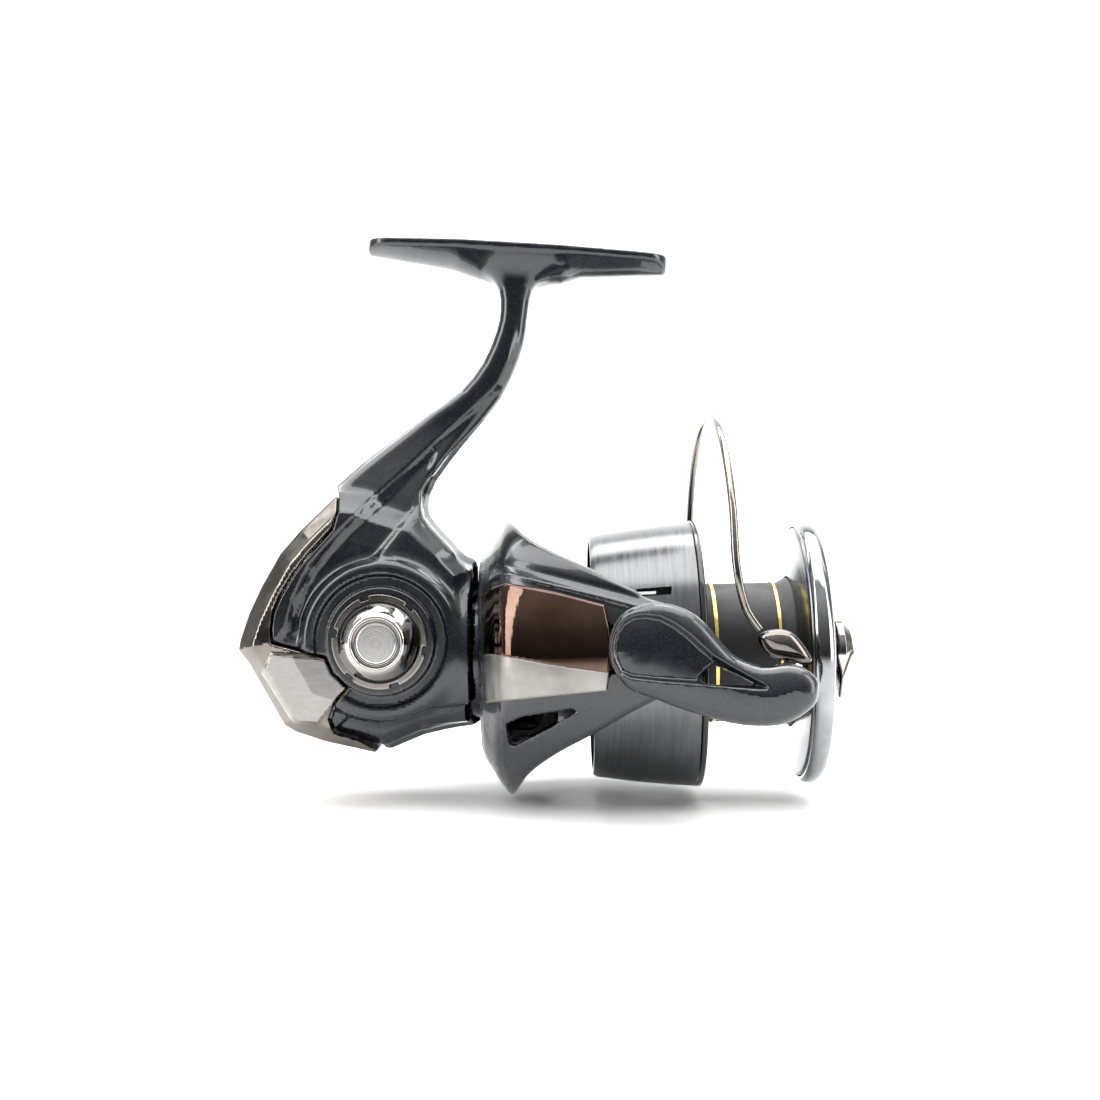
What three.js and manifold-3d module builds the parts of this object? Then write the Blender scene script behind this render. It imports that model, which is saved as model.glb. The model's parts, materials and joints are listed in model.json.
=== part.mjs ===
// A front-drag spinning fishing reel, in millimetres.
// +X runs forward along the main shaft, +Z points up to the rod, and the origin is the middle
// of the foot's top face, where the rod's reel seat clamps it. Every piece is placed from the
// main shaft's axis, which lies SHAFT_DROP below the origin.
import * as THREE from "three";
import { mergeVertices } from "three/addons/utils/BufferGeometryUtils.js";
import Module from "manifold-3d";

const wasm = await Module();
wasm.setup();

// ---------- driving dimensions ----------
const SHAFT_DROP = 83.8; // foot face down to the main shaft's axis
const FOOT_BACK = 5.2; // middle of the foot behind the shaft frame's zero
const FOOT_TILT = 4.4; // degrees that the foot's front end dips towards the shaft
const FOOT_LENGTH = 61;
const FOOT_WIDTH = 17;
const HANDLE_X = -33.3; // drive gear's axis, behind zero
const HANDLE_Z = 4.6; // drive gear's axis, above the main shaft
const ROTOR_TURN = -5.5; // degrees that the rotor rests away from level
const PIVOT_X = 19; // bail's pivot axis
const SHAFT_R = 1.75; // main shaft
const GEAR_SHAFT_R = 2.55; // drive shaft where it passes over the main shaft
const SKIRT_BACK = 7.9; // back edge of the spool's skirt
const SKIRT_FRONT = 29.7;
const LIP_R = 27;
const ARBOR_R = 14.2;
const BODY_HALF = 17; // half width of the gear housing
const WALL = 2.3; // housing wall
const REAR_COVER_GAP = 0.3;
const DRIVE_TEETH = 31;
const PINION_TEETH = 5;
const OSC_GEAR_TEETH = 24;
const OSC_PINION_TEETH = 12;
const GAP = 0.3; // between pieces that touch
const FAR_AWAY = 120;
const DEG = Math.PI / 180;

// ---------- materials ----------
const metal = (color, roughness, metalness = 1) =>
  new THREE.MeshStandardMaterial({ color, roughness, metalness });
const BODY_PAINT = metal(0x16181d, 0.2, 0.6);
const COVER_CHROME = metal(0x9a948c, 0.2);
const ARM_CHROME = metal(0x5f524b, 0.12);
const CHROME = metal(0xc9c6c0, 0.1);
const SPOOL_GREY = metal(0x7b8085, 0.3);
const SPOOL_BLACK = metal(0x101012, 0.3, 0.5);
const STEEL = metal(0xb4b6b8, 0.25);
const BRASS = metal(0xb08a45, 0.3);
const RUBBER = metal(0x17181a, 0.7, 0);
const FELT = metal(0x6c6a62, 0.95, 0);
const SEAL_BLUE = metal(0x27303c, 0.5, 0);

// ---------- solids ----------
function solid(geometry) {
  const bare = geometry.index ? geometry.toNonIndexed() : geometry.clone();
  bare.deleteAttribute("normal");
  bare.deleteAttribute("uv");
  const merged = mergeVertices(bare, 1e-3);
  const index = merged.index.array;
  const kept = [];
  for (let i = 0; i < index.length; i += 3) {
    const [a, b, c] = [index[i], index[i + 1], index[i + 2]];
    if (a !== b && b !== c && a !== c) kept.push(a, b, c);
  }
  const make = (triangles) =>
    new wasm.Manifold(
      new wasm.Mesh({
        numProp: 3,
        vertProperties: merged.attributes.position.array,
        triVerts: new Uint32Array(triangles),
      }),
    );
  const made = make(kept);
  return made.volume() > 0 ? made : make(kept.reverse());
}

function toGeometry(made) {
  const mesh = made.getMesh();
  return new THREE.BufferGeometry()
    .setAttribute("position", new THREE.BufferAttribute(mesh.vertProperties, 3))
    .setIndex(new THREE.BufferAttribute(mesh.triVerts, 1));
}

const join = (...solids) => solids.reduce((a, b) => a.add(b));
const cut = (body, ...tools) => tools.reduce((a, b) => a.subtract(b), body);
const pointsOf = (pairs) => pairs.map(([x, y]) => new THREE.Vector2(x, y));
const outline = (pairs) => new THREE.Shape(pointsOf(pairs));

// A smooth closed outline through a few points.
function rounded(pairs, perPoint = 3) {
  const loop = pairs.map(([x, y]) => new THREE.Vector3(x, y, 0));
  const curve = new THREE.CatmullRomCurve3(loop, true, "centripetal");
  const points = curve.getPoints(pairs.length * perPoint).slice(0, -1);
  return new THREE.Shape(points.map((p) => new THREE.Vector2(p.x, p.y)));
}

// A shape drawn in X and Z, given thickness from y0 to y1, with its rims eased by bevel.
function slabY(shape, y0, y1, bevel = 0) {
  const geometry = new THREE.ExtrudeGeometry(shape, {
    depth: y1 - y0 - 2 * bevel,
    bevelEnabled: bevel > 0,
    bevelThickness: bevel,
    bevelSize: bevel,
    bevelOffset: -bevel,
    bevelSegments: 2,
    curveSegments: 12,
  });
  return solid(geometry.rotateX(Math.PI / 2).translate(0, y1 - bevel, 0));
}

// A shape drawn in X and Y, given thickness from z0 to z1.
const slabZ = (shape, z0, z1) =>
  solid(
    new THREE.ExtrudeGeometry(shape, {
      depth: z1 - z0,
      bevelEnabled: false,
      curveSegments: 8,
    }).translate(0, 0, z0),
  );

// A closed profile of [distance along the axis, radius] turned about the X axis.
function turned(profile, segments = 24) {
  const points = profile.map(([along, r]) => new THREE.Vector2(r, along));
  points.push(points[0].clone());
  return solid(new THREE.LatheGeometry(points, segments).rotateZ(-Math.PI / 2));
}

const tube = (x0, x1, inner, outer, segments = 20) =>
  turned([[x0, inner], [x0, outer], [x1, outer], [x1, inner]], segments);

const rod = (x0, x1, r, segments = 16) =>
  solid(
    new THREE.CylinderGeometry(r, r, x1 - x0, segments)
      .rotateZ(-Math.PI / 2)
      .translate((x0 + x1) / 2, 0, 0),
  );

// The same, about an axis that runs along Y through the drive gear's centre or another place.
const aboutY = (made, x = HANDLE_X, z = HANDLE_Z) =>
  made.rotate([0, 0, 90]).translate([x, 0, z]);

const box = (x0, x1, y0, y1, z0, z1) =>
  solid(
    new THREE.BoxGeometry(x1 - x0, y1 - y0, z1 - z0).translate(
      (x0 + x1) / 2,
      (y0 + y1) / 2,
      (z0 + z1) / 2,
    ),
  );

// ---------- the assembly ----------
const reel = new THREE.Group();
reel.position.set(FOOT_BACK, 0, -SHAFT_DROP);
const rotorGroup = new THREE.Group(); // everything that turns with the rotor
rotorGroup.rotation.x = ROTOR_TURN * DEG;
reel.add(rotorGroup);

function add(name, made, material, group = reel) {
  const mesh = new THREE.Mesh(toGeometry(made), material);
  mesh.name = name;
  group.add(mesh);
}

// ---------- housing: foot, stem and gear case in one piece ----------
const STEM = [
  [-43.9, 33.6], [-23.4, 50.5], [-15.4, 56.7], [-11.4, 63.3], [-9.2, 70.8], [-10, 76.5],
  [-13.4, 79.5], [-14, 81.5], [6, 80.5], [5.1, 78.7], [-0.5, 77.2], [-3, 73], [-4.1, 66],
  [-7.1, 56.9], [-13.2, 48], [-20.5, 39.8], [-24.1, 34], [-24.6, 29], [-21.5, 24.5],
  [-30, 20], [-46, 27],
];
const CASE = [
  [-15.4, 18.3], [-20.2, 23.7], [-26, 29.1], [-36.6, 32.6], [-44.2, 31.6], [-49.4, 26.7],
  [-53.6, 22.1], [-57.5, 15.5], [-60.1, 10.2], [-62.3, 3.1], [-60.3, 0.5], [-53.4, -12.1],
  [-51.3, -13.4], [-45.2, -15.5], [-33.3, -18.4], [-26.3, -15.6], [-15.4, -12.3],
];
const SHOULDER = [
  [-15.4, 18.3], [-24.2, 29], [-24.1, 34], [-31, 42], [-43.9, 34.4], [-52, 26], [-38, 20],
];
const CAVITY = [
  [-19, 15.5], [-26, 22.3], [-42, 25], [-51.2, 18.8], [-56.2, 12.4], [-58.6, 7.2],
  [-60.2, 3], [-58.8, 0], [-51.6, -10.6], [-33, -13.2], [-19, -9.6],
];
// The part of the case that the rear cover takes, seen from the side.
const COVER_EDGE = [
  [-43.2, 36.5], [-41.5, 32.5], [-42.7, 26.5], [-47.3, 21.7], [-52.9, 13.9], [-54.8, 7.3],
  [-54.7, 4.4], [-42, 1.4], [-39, -4.4], [-42.5, -7.4], [-43.8, -10.7], [-43, -13.4],
  [-35, -16.6], [-34.4, -24], [-70, -24], [-70, 36.5],
];

const footPlan = () => {
  const half = FOOT_LENGTH / 2;
  const w = FOOT_WIDTH / 2;
  return rounded(
    [
      [-half, -3.6], [-half + 6, -6.2], [-12, -w], [8, -w], [half - 6, -6.6], [half, -4],
      [half, 4], [half - 6, 6.6], [8, w], [-12, w], [-half + 6, 6.2], [-half, 3.6],
    ],
    2,
  );
};

function foot() {
  // Drawn level under its own top face, then tilted about the middle of that face.
  const half = FOOT_LENGTH / 2;
  const side = outline([
    [-half, 0], [-half - 1, -2.6], [-14, -5], [-7.5, -7.2], [9, -7.2], [13, -5.2], [half + 1, -3.6],
    [half, 0],
  ]);
  const level = slabY(side, -FOOT_WIDTH / 2, FOOT_WIDTH / 2).intersect(
    slabZ(footPlan(), -20, 0),
  );
  return level
    .rotate([0, FOOT_TILT, 0])
    .translate([-FOOT_BACK, 0, SHAFT_DROP]);
}

function caseSolid() {
  const barrel = turned(
    [[-26, 0], [-26, 18.5], [-15.5, 20.2], [-15.5, 0]],
    32,
  ).intersect(box(-26, -15.5, -20.2, 20.2, -13.4, 18.6));
  const nearBoss = aboutY(rod(-19.2, -10, 15, 32));
  return join(
    slabY(outline(CASE), -BODY_HALF, BODY_HALF, 4),
    slabY(outline(SHOULDER), -10, 10, 3),
    barrel,
    nearBoss.intersect(slabY(outline(CASE), -FAR_AWAY, FAR_AWAY)),
  );
}

function coverRegion(grow) {
  // Cut back round the bearing ring on the near side and the engine plate on the far side.
  const edge = slabY(outline(COVER_EDGE), -FAR_AWAY, FAR_AWAY);
  return cut(
    edge,
    aboutY(rod(-FAR_AWAY, 0, 9.9 - grow, 32)),
    aboutY(rod(-GAP, FAR_AWAY, 17.3 - grow, 40)),
  );
}

const cavity = () =>
  slabY(outline(CAVITY), -BODY_HALF + WALL + 1.2, BODY_HALF - WALL, 1);

function housing() {
  const neck = rod(-18, -3.6, 12.5, 32);
  const stem = slabY(rounded(STEM, 2), -5.6, 5.6, 0.5);
  const solidBody = join(caseSolid(), stem, foot(), neck);
  const bracket = box(-30.1, -27.6, -4.6, 4.5, -16, 0); // holds the rear pinion bearing
  const bores = [
    aboutY(rod(-FAR_AWAY, 0, 7.3, 24)), // near bearing
    aboutY(rod(0, FAR_AWAY, 16.4, 40)), // engine plate
    rod(-22, 0, 6.2, 24), // pinion's way through
    rod(-14.6, 0, 8.3, 24), // front bearing seat
    rod(-9.9, 0, 10.4, 24), // one-way clutch seat
    cavity(),
    coverRegion(0),
  ];
  return join(cut(solidBody, ...bores), cut(bracket, rod(-40, -20, 4.1, 20)));
}

function rearCover() {
  const shell = cut(caseSolid(), cavity());
  const region = coverRegion(-REAR_COVER_GAP).intersect(
    slabY(
      outline(COVER_EDGE.map(([x, z]) => [x - REAR_COVER_GAP, z])),
      -FAR_AWAY,
      FAR_AWAY,
    ),
  );
  const pieces = shell.intersect(region).decompose();
  return pieces.sort((a, b) => b.volume() - a.volume())[0];
}

add("body_housing", housing(), BODY_PAINT);
add("rear_cover", rearCover(), COVER_CHROME);

// ---------- covers, bearings and fixed pieces of the housing ----------
const ringY = (y0, y1, inner, outer, segments = 20) =>
  aboutY(tube(y0, y1, inner, outer, segments));

function bearingRing() {
  // A screwed ring with spanner notches round its rim.
  const ring = ringY(-20.6, -19.5, 6.9, 9.2, 32);
  const notches = Array.from({ length: 6 }, (_, i) =>
    box(8.2, 12, -30, 0, -1, 1)
      .rotate([0, i * 60 + 12, 0])
      .translate([HANDLE_X, 0, HANDLE_Z]),
  );
  return cut(ring, ...notches);
}

function handleCap() {
  return aboutY(
    turned(
      [
        [-26.4, 0], [-26.4, 4], [-26.9, 4.8], [-26.2, 5.5], [-23.6, 7.3], [-22.6, 8],
        [-20.9, 8.1], [-20.9, 6.5], [-17.4, 6.5], [-17.4, 0],
      ],
      32,
    ),
  );
}

function enginePlate() {
  return aboutY(
    turned(
      [
        [13.2, 7.2], [13.2, 16], [18, 16], [18.8, 15], [18.8, 10.5], [21.4, 9.4], [21.4, 4],
        [19.4, 4], [19.4, 7.2],
      ],
      40,
    ),
  );
}

add("bearing_ring", bearingRing(), CHROME);
add("handle_cap", handleCap(), CHROME);
add("engine_plate", enginePlate(), BODY_PAINT);
add("drive_bearing_near", ringY(-16.6, -12.8, 3.6, 7, 20), STEEL);
add("drive_bearing_far", ringY(15.2, 19.1, 3.6, 6.9, 20), STEEL);
add("pinion_bearing_rear", tube(-30.2, -27.4, 2.5, 3.8, 20), STEEL);
add("pinion_bearing_front", tube(-14.3, -10.2, 3.3, 8, 20), STEEL);
add("roller_clutch", tube(-9.6, -4, 5.2, 10.1, 20), STEEL);
add("clutch_retainer", tube(-3.3, -2.4, 4, 12.3, 24), SEAL_BLUE);
add("guide_rod", rod(-56.4, -19.4, 1, 10).translate([0, 0, 9.2]), STEEL);

const OSC_X = -43.8; // centre of the oscillation gear
const OSC_Z = -1.8;
const CRANK_PIN_ORBIT = 6;
// Direction from the drive shaft to the oscillation gear, as the wheels' own outlines turn.
const MESH_LINE = Math.atan2(HANDLE_X - OSC_X, HANDLE_Z - OSC_Z);
const yPin = (y0, y1, r, x, z, segments = 12) =>
  aboutY(rod(y0, y1, r, segments), x, z);
add("oscillation_post", yPin(-12.8, -4.2, 1.5, OSC_X, OSC_Z), STEEL);

// Three screws hold the rear cover from the far side.
function coverScrew(x, z) {
  const head = yPin(BODY_HALF + GAP, BODY_HALF + 1.7, 1.9, x, z);
  const slot = box(-1.4, 1.4, BODY_HALF + 1.1, BODY_HALF + 3, -0.3, 0.3);
  return cut(head, slot.translate([x, 0, z]));
}
[[-50.5, -6.5], [-54.6, 9], [-44.6, 23.6]].forEach(([x, z], i) =>
  add(`rear_cover_screw_${i + 1}`, coverScrew(x, z), STEEL),
);

// ---------- crank: drive gear, its shaft and the handle ----------
function toothedWheel(teeth, root, tip, x0, x1, bore, phase = 0) {
  // Straight teeth with sloping flanks round a disc about the X axis.
  const points = [];
  for (let i = 0; i < teeth; i++) {
    const at = phase + (i * 2 * Math.PI) / teeth;
    const pitch = (2 * Math.PI) / teeth;
    const corner = (turn, r) => [
      r * Math.cos(at + turn * pitch),
      r * Math.sin(at + turn * pitch),
    ];
    points.push(corner(-0.29, root), corner(-0.12, tip));
    points.push(corner(0.12, tip), corner(0.29, root));
  }
  const disc = solid(
    new THREE.ExtrudeGeometry(outline(points), {
      depth: x1 - x0,
      bevelEnabled: false,
    })
      .translate(0, 0, x0)
      .rotateY(Math.PI / 2),
  );
  return cut(disc, rod(x0 - 1, x1 + 1, bore, 16));
}

function driveGear() {
  // A face gear: its teeth stand on the side towards the pinion.
  const disc = turned(
    [[6.4, 4.5], [6.4, 9.8], [5.7, 10.2], [5.7, 15.4], [8.2, 15.4], [9, 10], [11.5, 6.2], [11.5, 4.5]],
    DRIVE_TEETH,
  );
  const teeth = Array.from({ length: DRIVE_TEETH }, (_, i) =>
    box(10.8, 15.1, 4.8, 6, -0.45, 0.45).rotate([0, (i * 360) / DRIVE_TEETH, 0]),
  );
  const placed = teeth.map((t) => t.translate([HANDLE_X, 0, HANDLE_Z]));
  return join(aboutY(disc), ...placed);
}

function driveShaft() {
  return aboutY(
    turned(
      [
        [-17, 0], [-17, 3.3], [-8, 3.3], [-8, GEAR_SHAFT_R], [4, GEAR_SHAFT_R], [4, 4.2],
        [12, 4.2], [12, 3.3], [25.5, 3.3], [25.5, 0],
      ],
      16,
    ),
  );
}

const HANDLE_REACH = 55; // handle axis to knob axis
const KNOB_X = HANDLE_X + HANDLE_REACH;
function handleArm() {
  // Seen from above: out from the collar, clear of the turning bail, then level to the knob.
  const plan = rounded(
    [
      [HANDLE_X - 6, 27.5], [HANDLE_X - 5.5, 32.5], [-20, 36.5], [5, 49.5], [14, 52.4],
      [KNOB_X + 4.5, 52.8], [KNOB_X + 5, 49.6], [14, 48.6], [7, 46], [-18, 32], [-28, 27.6],
    ],
    3,
  );
  const side = rounded(
    [
      [HANDLE_X - 6.4, 0], [HANDLE_X, 6.2], [-12, 4.2], [10, 3.8], [KNOB_X, 5],
      [KNOB_X + 5.4, 0], [KNOB_X, -5], [10, -3.8], [-12, -4.2], [HANDLE_X, -6.2],
    ],
    3,
  );
  const blank = slabZ(plan, -8, 8).intersect(slabY(side, 0, 80));
  return cut(blank.translate([0, 0, HANDLE_Z]), yPin(20, 40, 4.6, HANDLE_X, HANDLE_Z, 16));
}

add("drive_gear", driveGear(), BRASS);
add("drive_shaft", driveShaft(), STEEL);
add(
  "oscillation_pinion",
  toothedWheel(OSC_PINION_TEETH, 3.8, 4.5, -7.3, -5.2, 2.9, MESH_LINE)
    .rotate([0, 0, 90])
    .translate([HANDLE_X, 0, HANDLE_Z]),
  BRASS,
);
add(
  "handle_collar",
  aboutY(
    turned(
      [[21.7, 3.6], [21.7, 8.2], [23.5, 8.2], [25.2, 6.4], [26.2, 6.2], [26.2, 3.6]],
      24,
    ),
  ),
  CHROME,
);
add("handle_arm", handleArm(), BODY_PAINT);
add("handle_bolt", yPin(26.5, 33, 4.2, HANDLE_X, HANDLE_Z, 16), STEEL);
add("knob_post", yPin(53.7, 72, 2, KNOB_X, HANDLE_Z, 12), STEEL);

// ---------- the knob, which spins on its post ----------
function knobGrip() {
  return aboutY(
    turned(
      [
        [53.8, 2.6], [53.8, 6], [56, 6.4], [59, 10.5], [61.5, 14.6], [65, 16], [69, 15.4],
        [72.6, 11.8], [73.4, 8.2], [72.6, 8], [72.6, 2.6],
      ],
      32,
    ),
    KNOB_X,
  );
}
add("knob_grip", knobGrip(), RUBBER);
add(
  "knob_end_cap",
  aboutY(turned([[72.9, 0], [72.9, 7.8], [74.4, 6.8], [75, 0]], 24), KNOB_X),
  CHROME,
);

// ---------- oscillation gear ----------
function oscillationGear() {
  // Half a tooth round, so that a gap meets the pinion's tooth.
  const phase = MESH_LINE + Math.PI + Math.PI / OSC_GEAR_TEETH;
  const wheel = toothedWheel(OSC_GEAR_TEETH, 7.3, 8.1, -7.2, -5.3, 1.8, phase);
  const crankPin = rod(-5.4, -3.9, 1.2, 10).translate([0, CRANK_PIN_ORBIT, 0]);
  return aboutY(join(wheel, crankPin), OSC_X, OSC_Z);
}
add("oscillation_gear", oscillationGear(), BRASS);

// ---------- main shaft and what is fixed to it ----------
const KEYED_WASHER = [40.1, 41.1];
add("main_shaft", rod(-57, 57, SHAFT_R, 16), STEEL);
add(
  "slider_block",
  cut(
    box(-55.8, -49.6, -3.4, 3.4, -3, 11),
    rod(-70, -40, SHAFT_R + GAP, 16),
    rod(-70, -40, 1.3, 12).translate([0, 0, 9.2]),
  ),
  BRASS,
);
add("spool_seat", tube(13, 19.6, SHAFT_R + GAP, 4.2, 16), STEEL);
add("drag_washer_keyed", tube(...KEYED_WASHER, SHAFT_R + GAP, 12.1, 24), STEEL);

// ---------- spool ----------
function spoolBody() {
  const turnedBody = turned(
    [
      [SKIRT_BACK, 24.4], [9, 24.9], [18, 26.2], [28.3, 27.1], [28.3, 25.9], [29.5, 25.6],
      [30.6, 15.4], [31.6, ARBOR_R], [46.4, ARBOR_R], [48.2, 15.1], [52, 15.1], [52, 12.6],
      [38.5, 12.6], [38.5, 2.1], [20.1, 2.1], [20.1, 6], [36.3, 7.5], [36.3, 12.4],
      [31.6, 12.4], [28.6, 13.8], [27, 25.4], [18, 25], [9, 23.5], [SKIRT_BACK, 23.3],
    ],
    40,
  );
  // Three slots through the skirt, a third of a turn apart.
  const slots = [0, 1, 2].map((i) =>
    slabZ(outline([[16.5, -0.8], [23.2, -0.8], [23.2, 0.8], [16.5, 0.8]]), 22, 30)
      .rotate([60 + i * 120, 0, 0]),
  );
  return cut(turnedBody, ...slots);
}

function spoolLip() {
  return turned(
    [
      [48.5, 15.4], [49.6, 25.6], [50.4, 26.8], [52.4, LIP_R], [53.7, 26.2], [54, 24.8],
      [53.2, 23], [52.2, 16.5], [52.4, 15.4],
    ],
    40,
  );
}

add("spool_body", spoolBody(), SPOOL_GREY);
add("spool_lip", spoolLip(), CHROME);
add("skirt_ring", tube(28.6, SKIRT_FRONT, 26.2, 27.2, 40), SPOOL_BLACK);
add("drag_washer_felt_1", tube(38.8, 39.8, 2.4, 12.2, 24), FELT);
add("drag_washer_felt_2", tube(41.4, 42.4, 2.4, 12.2, 24), FELT);
add("drag_washer_eared", tube(42.7, 43.5, 2.4, 12.2, 24), STEEL);
add("drag_retainer", tube(44.4, 45.2, 10.6, 12.2, 24), STEEL);
add("click_gear", toothedWheel(24, 7, 8, 17.2, 18.6, 4.6), SPOOL_BLACK);
add("line_clip", box(20, 24.5, -1.6, 1.6, 27, 27.5).rotate([200, 0, 0]), STEEL);

// ---------- drag knob ----------
function dragKnob() {
  return turned(
    [
      [44, 2.1], [44, 9.6], [52.3, 9.6], [52.3, 14.4], [55, 14.4], [56.4, 13], [57, 7.6], [57, 2.1],
    ],
    32,
  );
}

function dragGrip() {
  // The raised bar that thumb and finger turn, with its cap.
  const bar = slabZ(
    outline([
      [57.3, -12.4], [57.3, 12.4], [58, 12], [60.6, 5.6], [61.4, 4.2], [61.4, -4.2],
      [60.6, -5.6], [58, -12],
    ]),
    -3.4,
    3.4,
  );
  const hub = turned([[57.9, 0], [57.9, 6.3], [59.5, 6.3], [61.4, 4.4], [61.4, 0]], 24);
  return join(bar.rotate([35, 0, 0]), hub);
}
add("drag_knob", dragKnob(), BODY_PAINT);
add("drag_knob_grip", dragGrip(), CHROME);

// ---------- rotor ----------
// Half height of the rotor's front edge at each place along the shaft, seen from the side.
const ARM_EDGE = [
  [-8.6, 28.8], [-5.4, 23.8], [-1.9, 20.9], [2.2, 18.4], [7.1, 15.9], [14.2, 11.9], [21, 8.6],
];
const ARM_OUTER = [[-14.1, 20.7], [-8.6, 28.9], [-3, 30.6], [6, 32], [14, 33.4], [28, 34]];
const ARM_SIDE = [
  [-20, -40],
  [-9, -40],
  ...ARM_EDGE.map(([x, z]) => [x, -z]),
  [26, -6.6], [27.6, -3], [27.6, 3], [26, 6.6],
  ...[...ARM_EDGE].reverse(),
  [-9, 40],
  [-20, 40],
];

function rotorSolid() {
  const arms = turned(
    [...ARM_OUTER, [28, 28.6], [14, 27.3], [-2, 26.2], [-6.5, 24.6], [-11, 18.6], [-14.1, 18]],
    40,
  ).intersect(slabY(outline(ARM_SIDE), -50, 50));
  const cup = turned(
    [
      [-14.1, 16.4], [-14.1, 20.2], [-11, 20.6], [-9, 18.6], [1, 18], [1, 3.4], [-1.8, 3.4],
      [-1.8, 13.6], [-4, 16.4],
    ],
    40,
  );
  const pocket = (side) =>
    box(-3, 11.5, side > 0 ? 28.3 : -50, side > 0 ? 50 : -28.3, -4.6, 4.6);
  // A cut-out beside each arm, half a turn apart.
  const cutOut = slabY(
    outline([[-9, -13.6], [-8.4, -17.4], [-0.5, -14.2], [4.4, -11.4], [-6, -12.2]]),
    -50,
    -8,
  );
  const pivots = rod(-50, 50, 2.4, 16).rotate([0, 0, 90]).translate([PIVOT_X, 0, 0]);
  const cutOuts = [cutOut, cutOut.rotate([180, 0, 0])];
  return cut(join(arms, cup), pocket(1), pocket(-1), ...cutOuts, pivots);
}

function armCover(side) {
  // A plate lying just outside the arm, following its curve.
  const lift = (profile, by) => profile.map(([x, r]) => [x, r + by]);
  const spine = [[-12.3, 23.9], ...ARM_OUTER.slice(1)];
  const skin = turned(
    [...lift(spine, 1.9), ...lift(spine, 0.35).reverse()],
    48,
  );
  const face = outline([
    [-13, 11.2], [-8.6, 13.2], [1, 11], [9.9, 8.3], [11, 0], [9.9, -7.8], [-13, -9.6],
  ]);
  return skin.intersect(slabY(face, side > 0 ? 5 : -50, side > 0 ? 50 : -5));
}

add("rotor", rotorSolid(), BODY_PAINT, rotorGroup);
add("arm_cover_near", armCover(-1), ARM_CHROME, rotorGroup);
add("arm_cover_far", armCover(1), ARM_CHROME, rotorGroup);

function pinion() {
  // Five helical teeth at the back, a plain shank through the bearing, clutch and rotor.
  const star = [];
  for (let i = 0; i < PINION_TEETH * 2; i++) {
    const at = (i * Math.PI) / PINION_TEETH;
    const r = i % 2 ? 3.1 : 4.3;
    star.push([r * Math.cos(at - 0.16), r * Math.sin(at - 0.16)]);
    star.push([r * Math.cos(at + 0.16), r * Math.sin(at + 0.16)]);
  }
  const length = 8.6;
  const teeth = new THREE.ExtrudeGeometry(outline(star), {
    depth: length,
    steps: 5,
    bevelEnabled: false,
  });
  const at = teeth.attributes.position;
  for (let i = 0; i < at.count; i++) {
    const twist = (at.getZ(i) / length) * 1.2;
    const [x, y] = [at.getX(i), at.getY(i)];
    at.setX(i, x * Math.cos(twist) - y * Math.sin(twist));
    at.setY(i, x * Math.sin(twist) + y * Math.cos(twist));
  }
  const helical = solid(teeth.rotateY(Math.PI / 2).translate(-26.9, 0, 0));
  const whole = join(helical, rod(-18.6, 5, 3, 16), rod(-30, -26, 2.4, 16));
  return cut(whole, rod(-31, 10, SHAFT_R + 0.15, 16));
}
add("pinion_gear", pinion(), BRASS, rotorGroup);
add("clutch_sleeve", tube(-9.4, -4.2, 3.3, 4.9, 20), STEEL, rotorGroup);
add(
  "rotor_nut",
  cut(rod(1.3, 4.6, 6.6, 6), rod(0, 6, 3.3, 16)),
  STEEL,
  rotorGroup,
);
add(
  "bail_spring",
  turned(
    [
      [-2, 0.6],
      ...Array.from({ length: 13 }, (_, i) => [-2 + i * 0.75, i % 2 ? 0.85 : 1.15]),
      [7, 0.6],
    ],
    10,
  ).translate([0, -29.8, 0]),
  STEEL,
  rotorGroup,
);
add("spring_rod", rod(-2.4, 10.8, 0.4, 8).translate([0, -29.8, 0]), STEEL, rotorGroup);

// ---------- bail ----------
const NEAR_ARM = [
  [10.2, -0.6], [11.6, 4.6], [14.7, 7.4], [20.4, 8.2], [26.3, 5.7], [31.2, 0.4], [33.6, -2],
  [38, -3.7], [42.5, -3.5], [45.6, -4.4], [48.1, -8.1], [45.8, -12.2], [41.5, -14.3],
  [35.9, -14.5], [27, -12.6], [18.6, -9.3], [13, -7],
];
function nearArm() {
  const blade = slabY(rounded(NEAR_ARM, 3), -43, -36.6, 1.8);
  const window = slabY(
    outline([[25.6, -5.6], [28.4, -2.8], [37.2, -6.8], [36.9, -7.6], [27, -7.1]]),
    -60,
    0,
  );
  const hub = rod(-36.8, -35.9, 5.6, 24).rotate([0, 0, 90]).translate([PIVOT_X, 0, 0]);
  const bore = rod(-60, 0, 2.5, 16).rotate([0, 0, 90]).translate([PIVOT_X, 0, 0]);
  return cut(join(blade, hub), window, bore);
}

function farArm() {
  const blade = slabY(
    rounded(
      [[13, 0], [15, 5], [20, 6.4], [27, 4.4], [32.4, 4], [33, 0.6], [27, -4], [20, -6], [15, -5]],
      3,
    ),
    36.2,
    39.4,
    1,
  );
  return cut(blade, rod(30, 50, 2.5, 16).rotate([0, 0, 90]).translate([PIVOT_X, 0, 0]));
}

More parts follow.
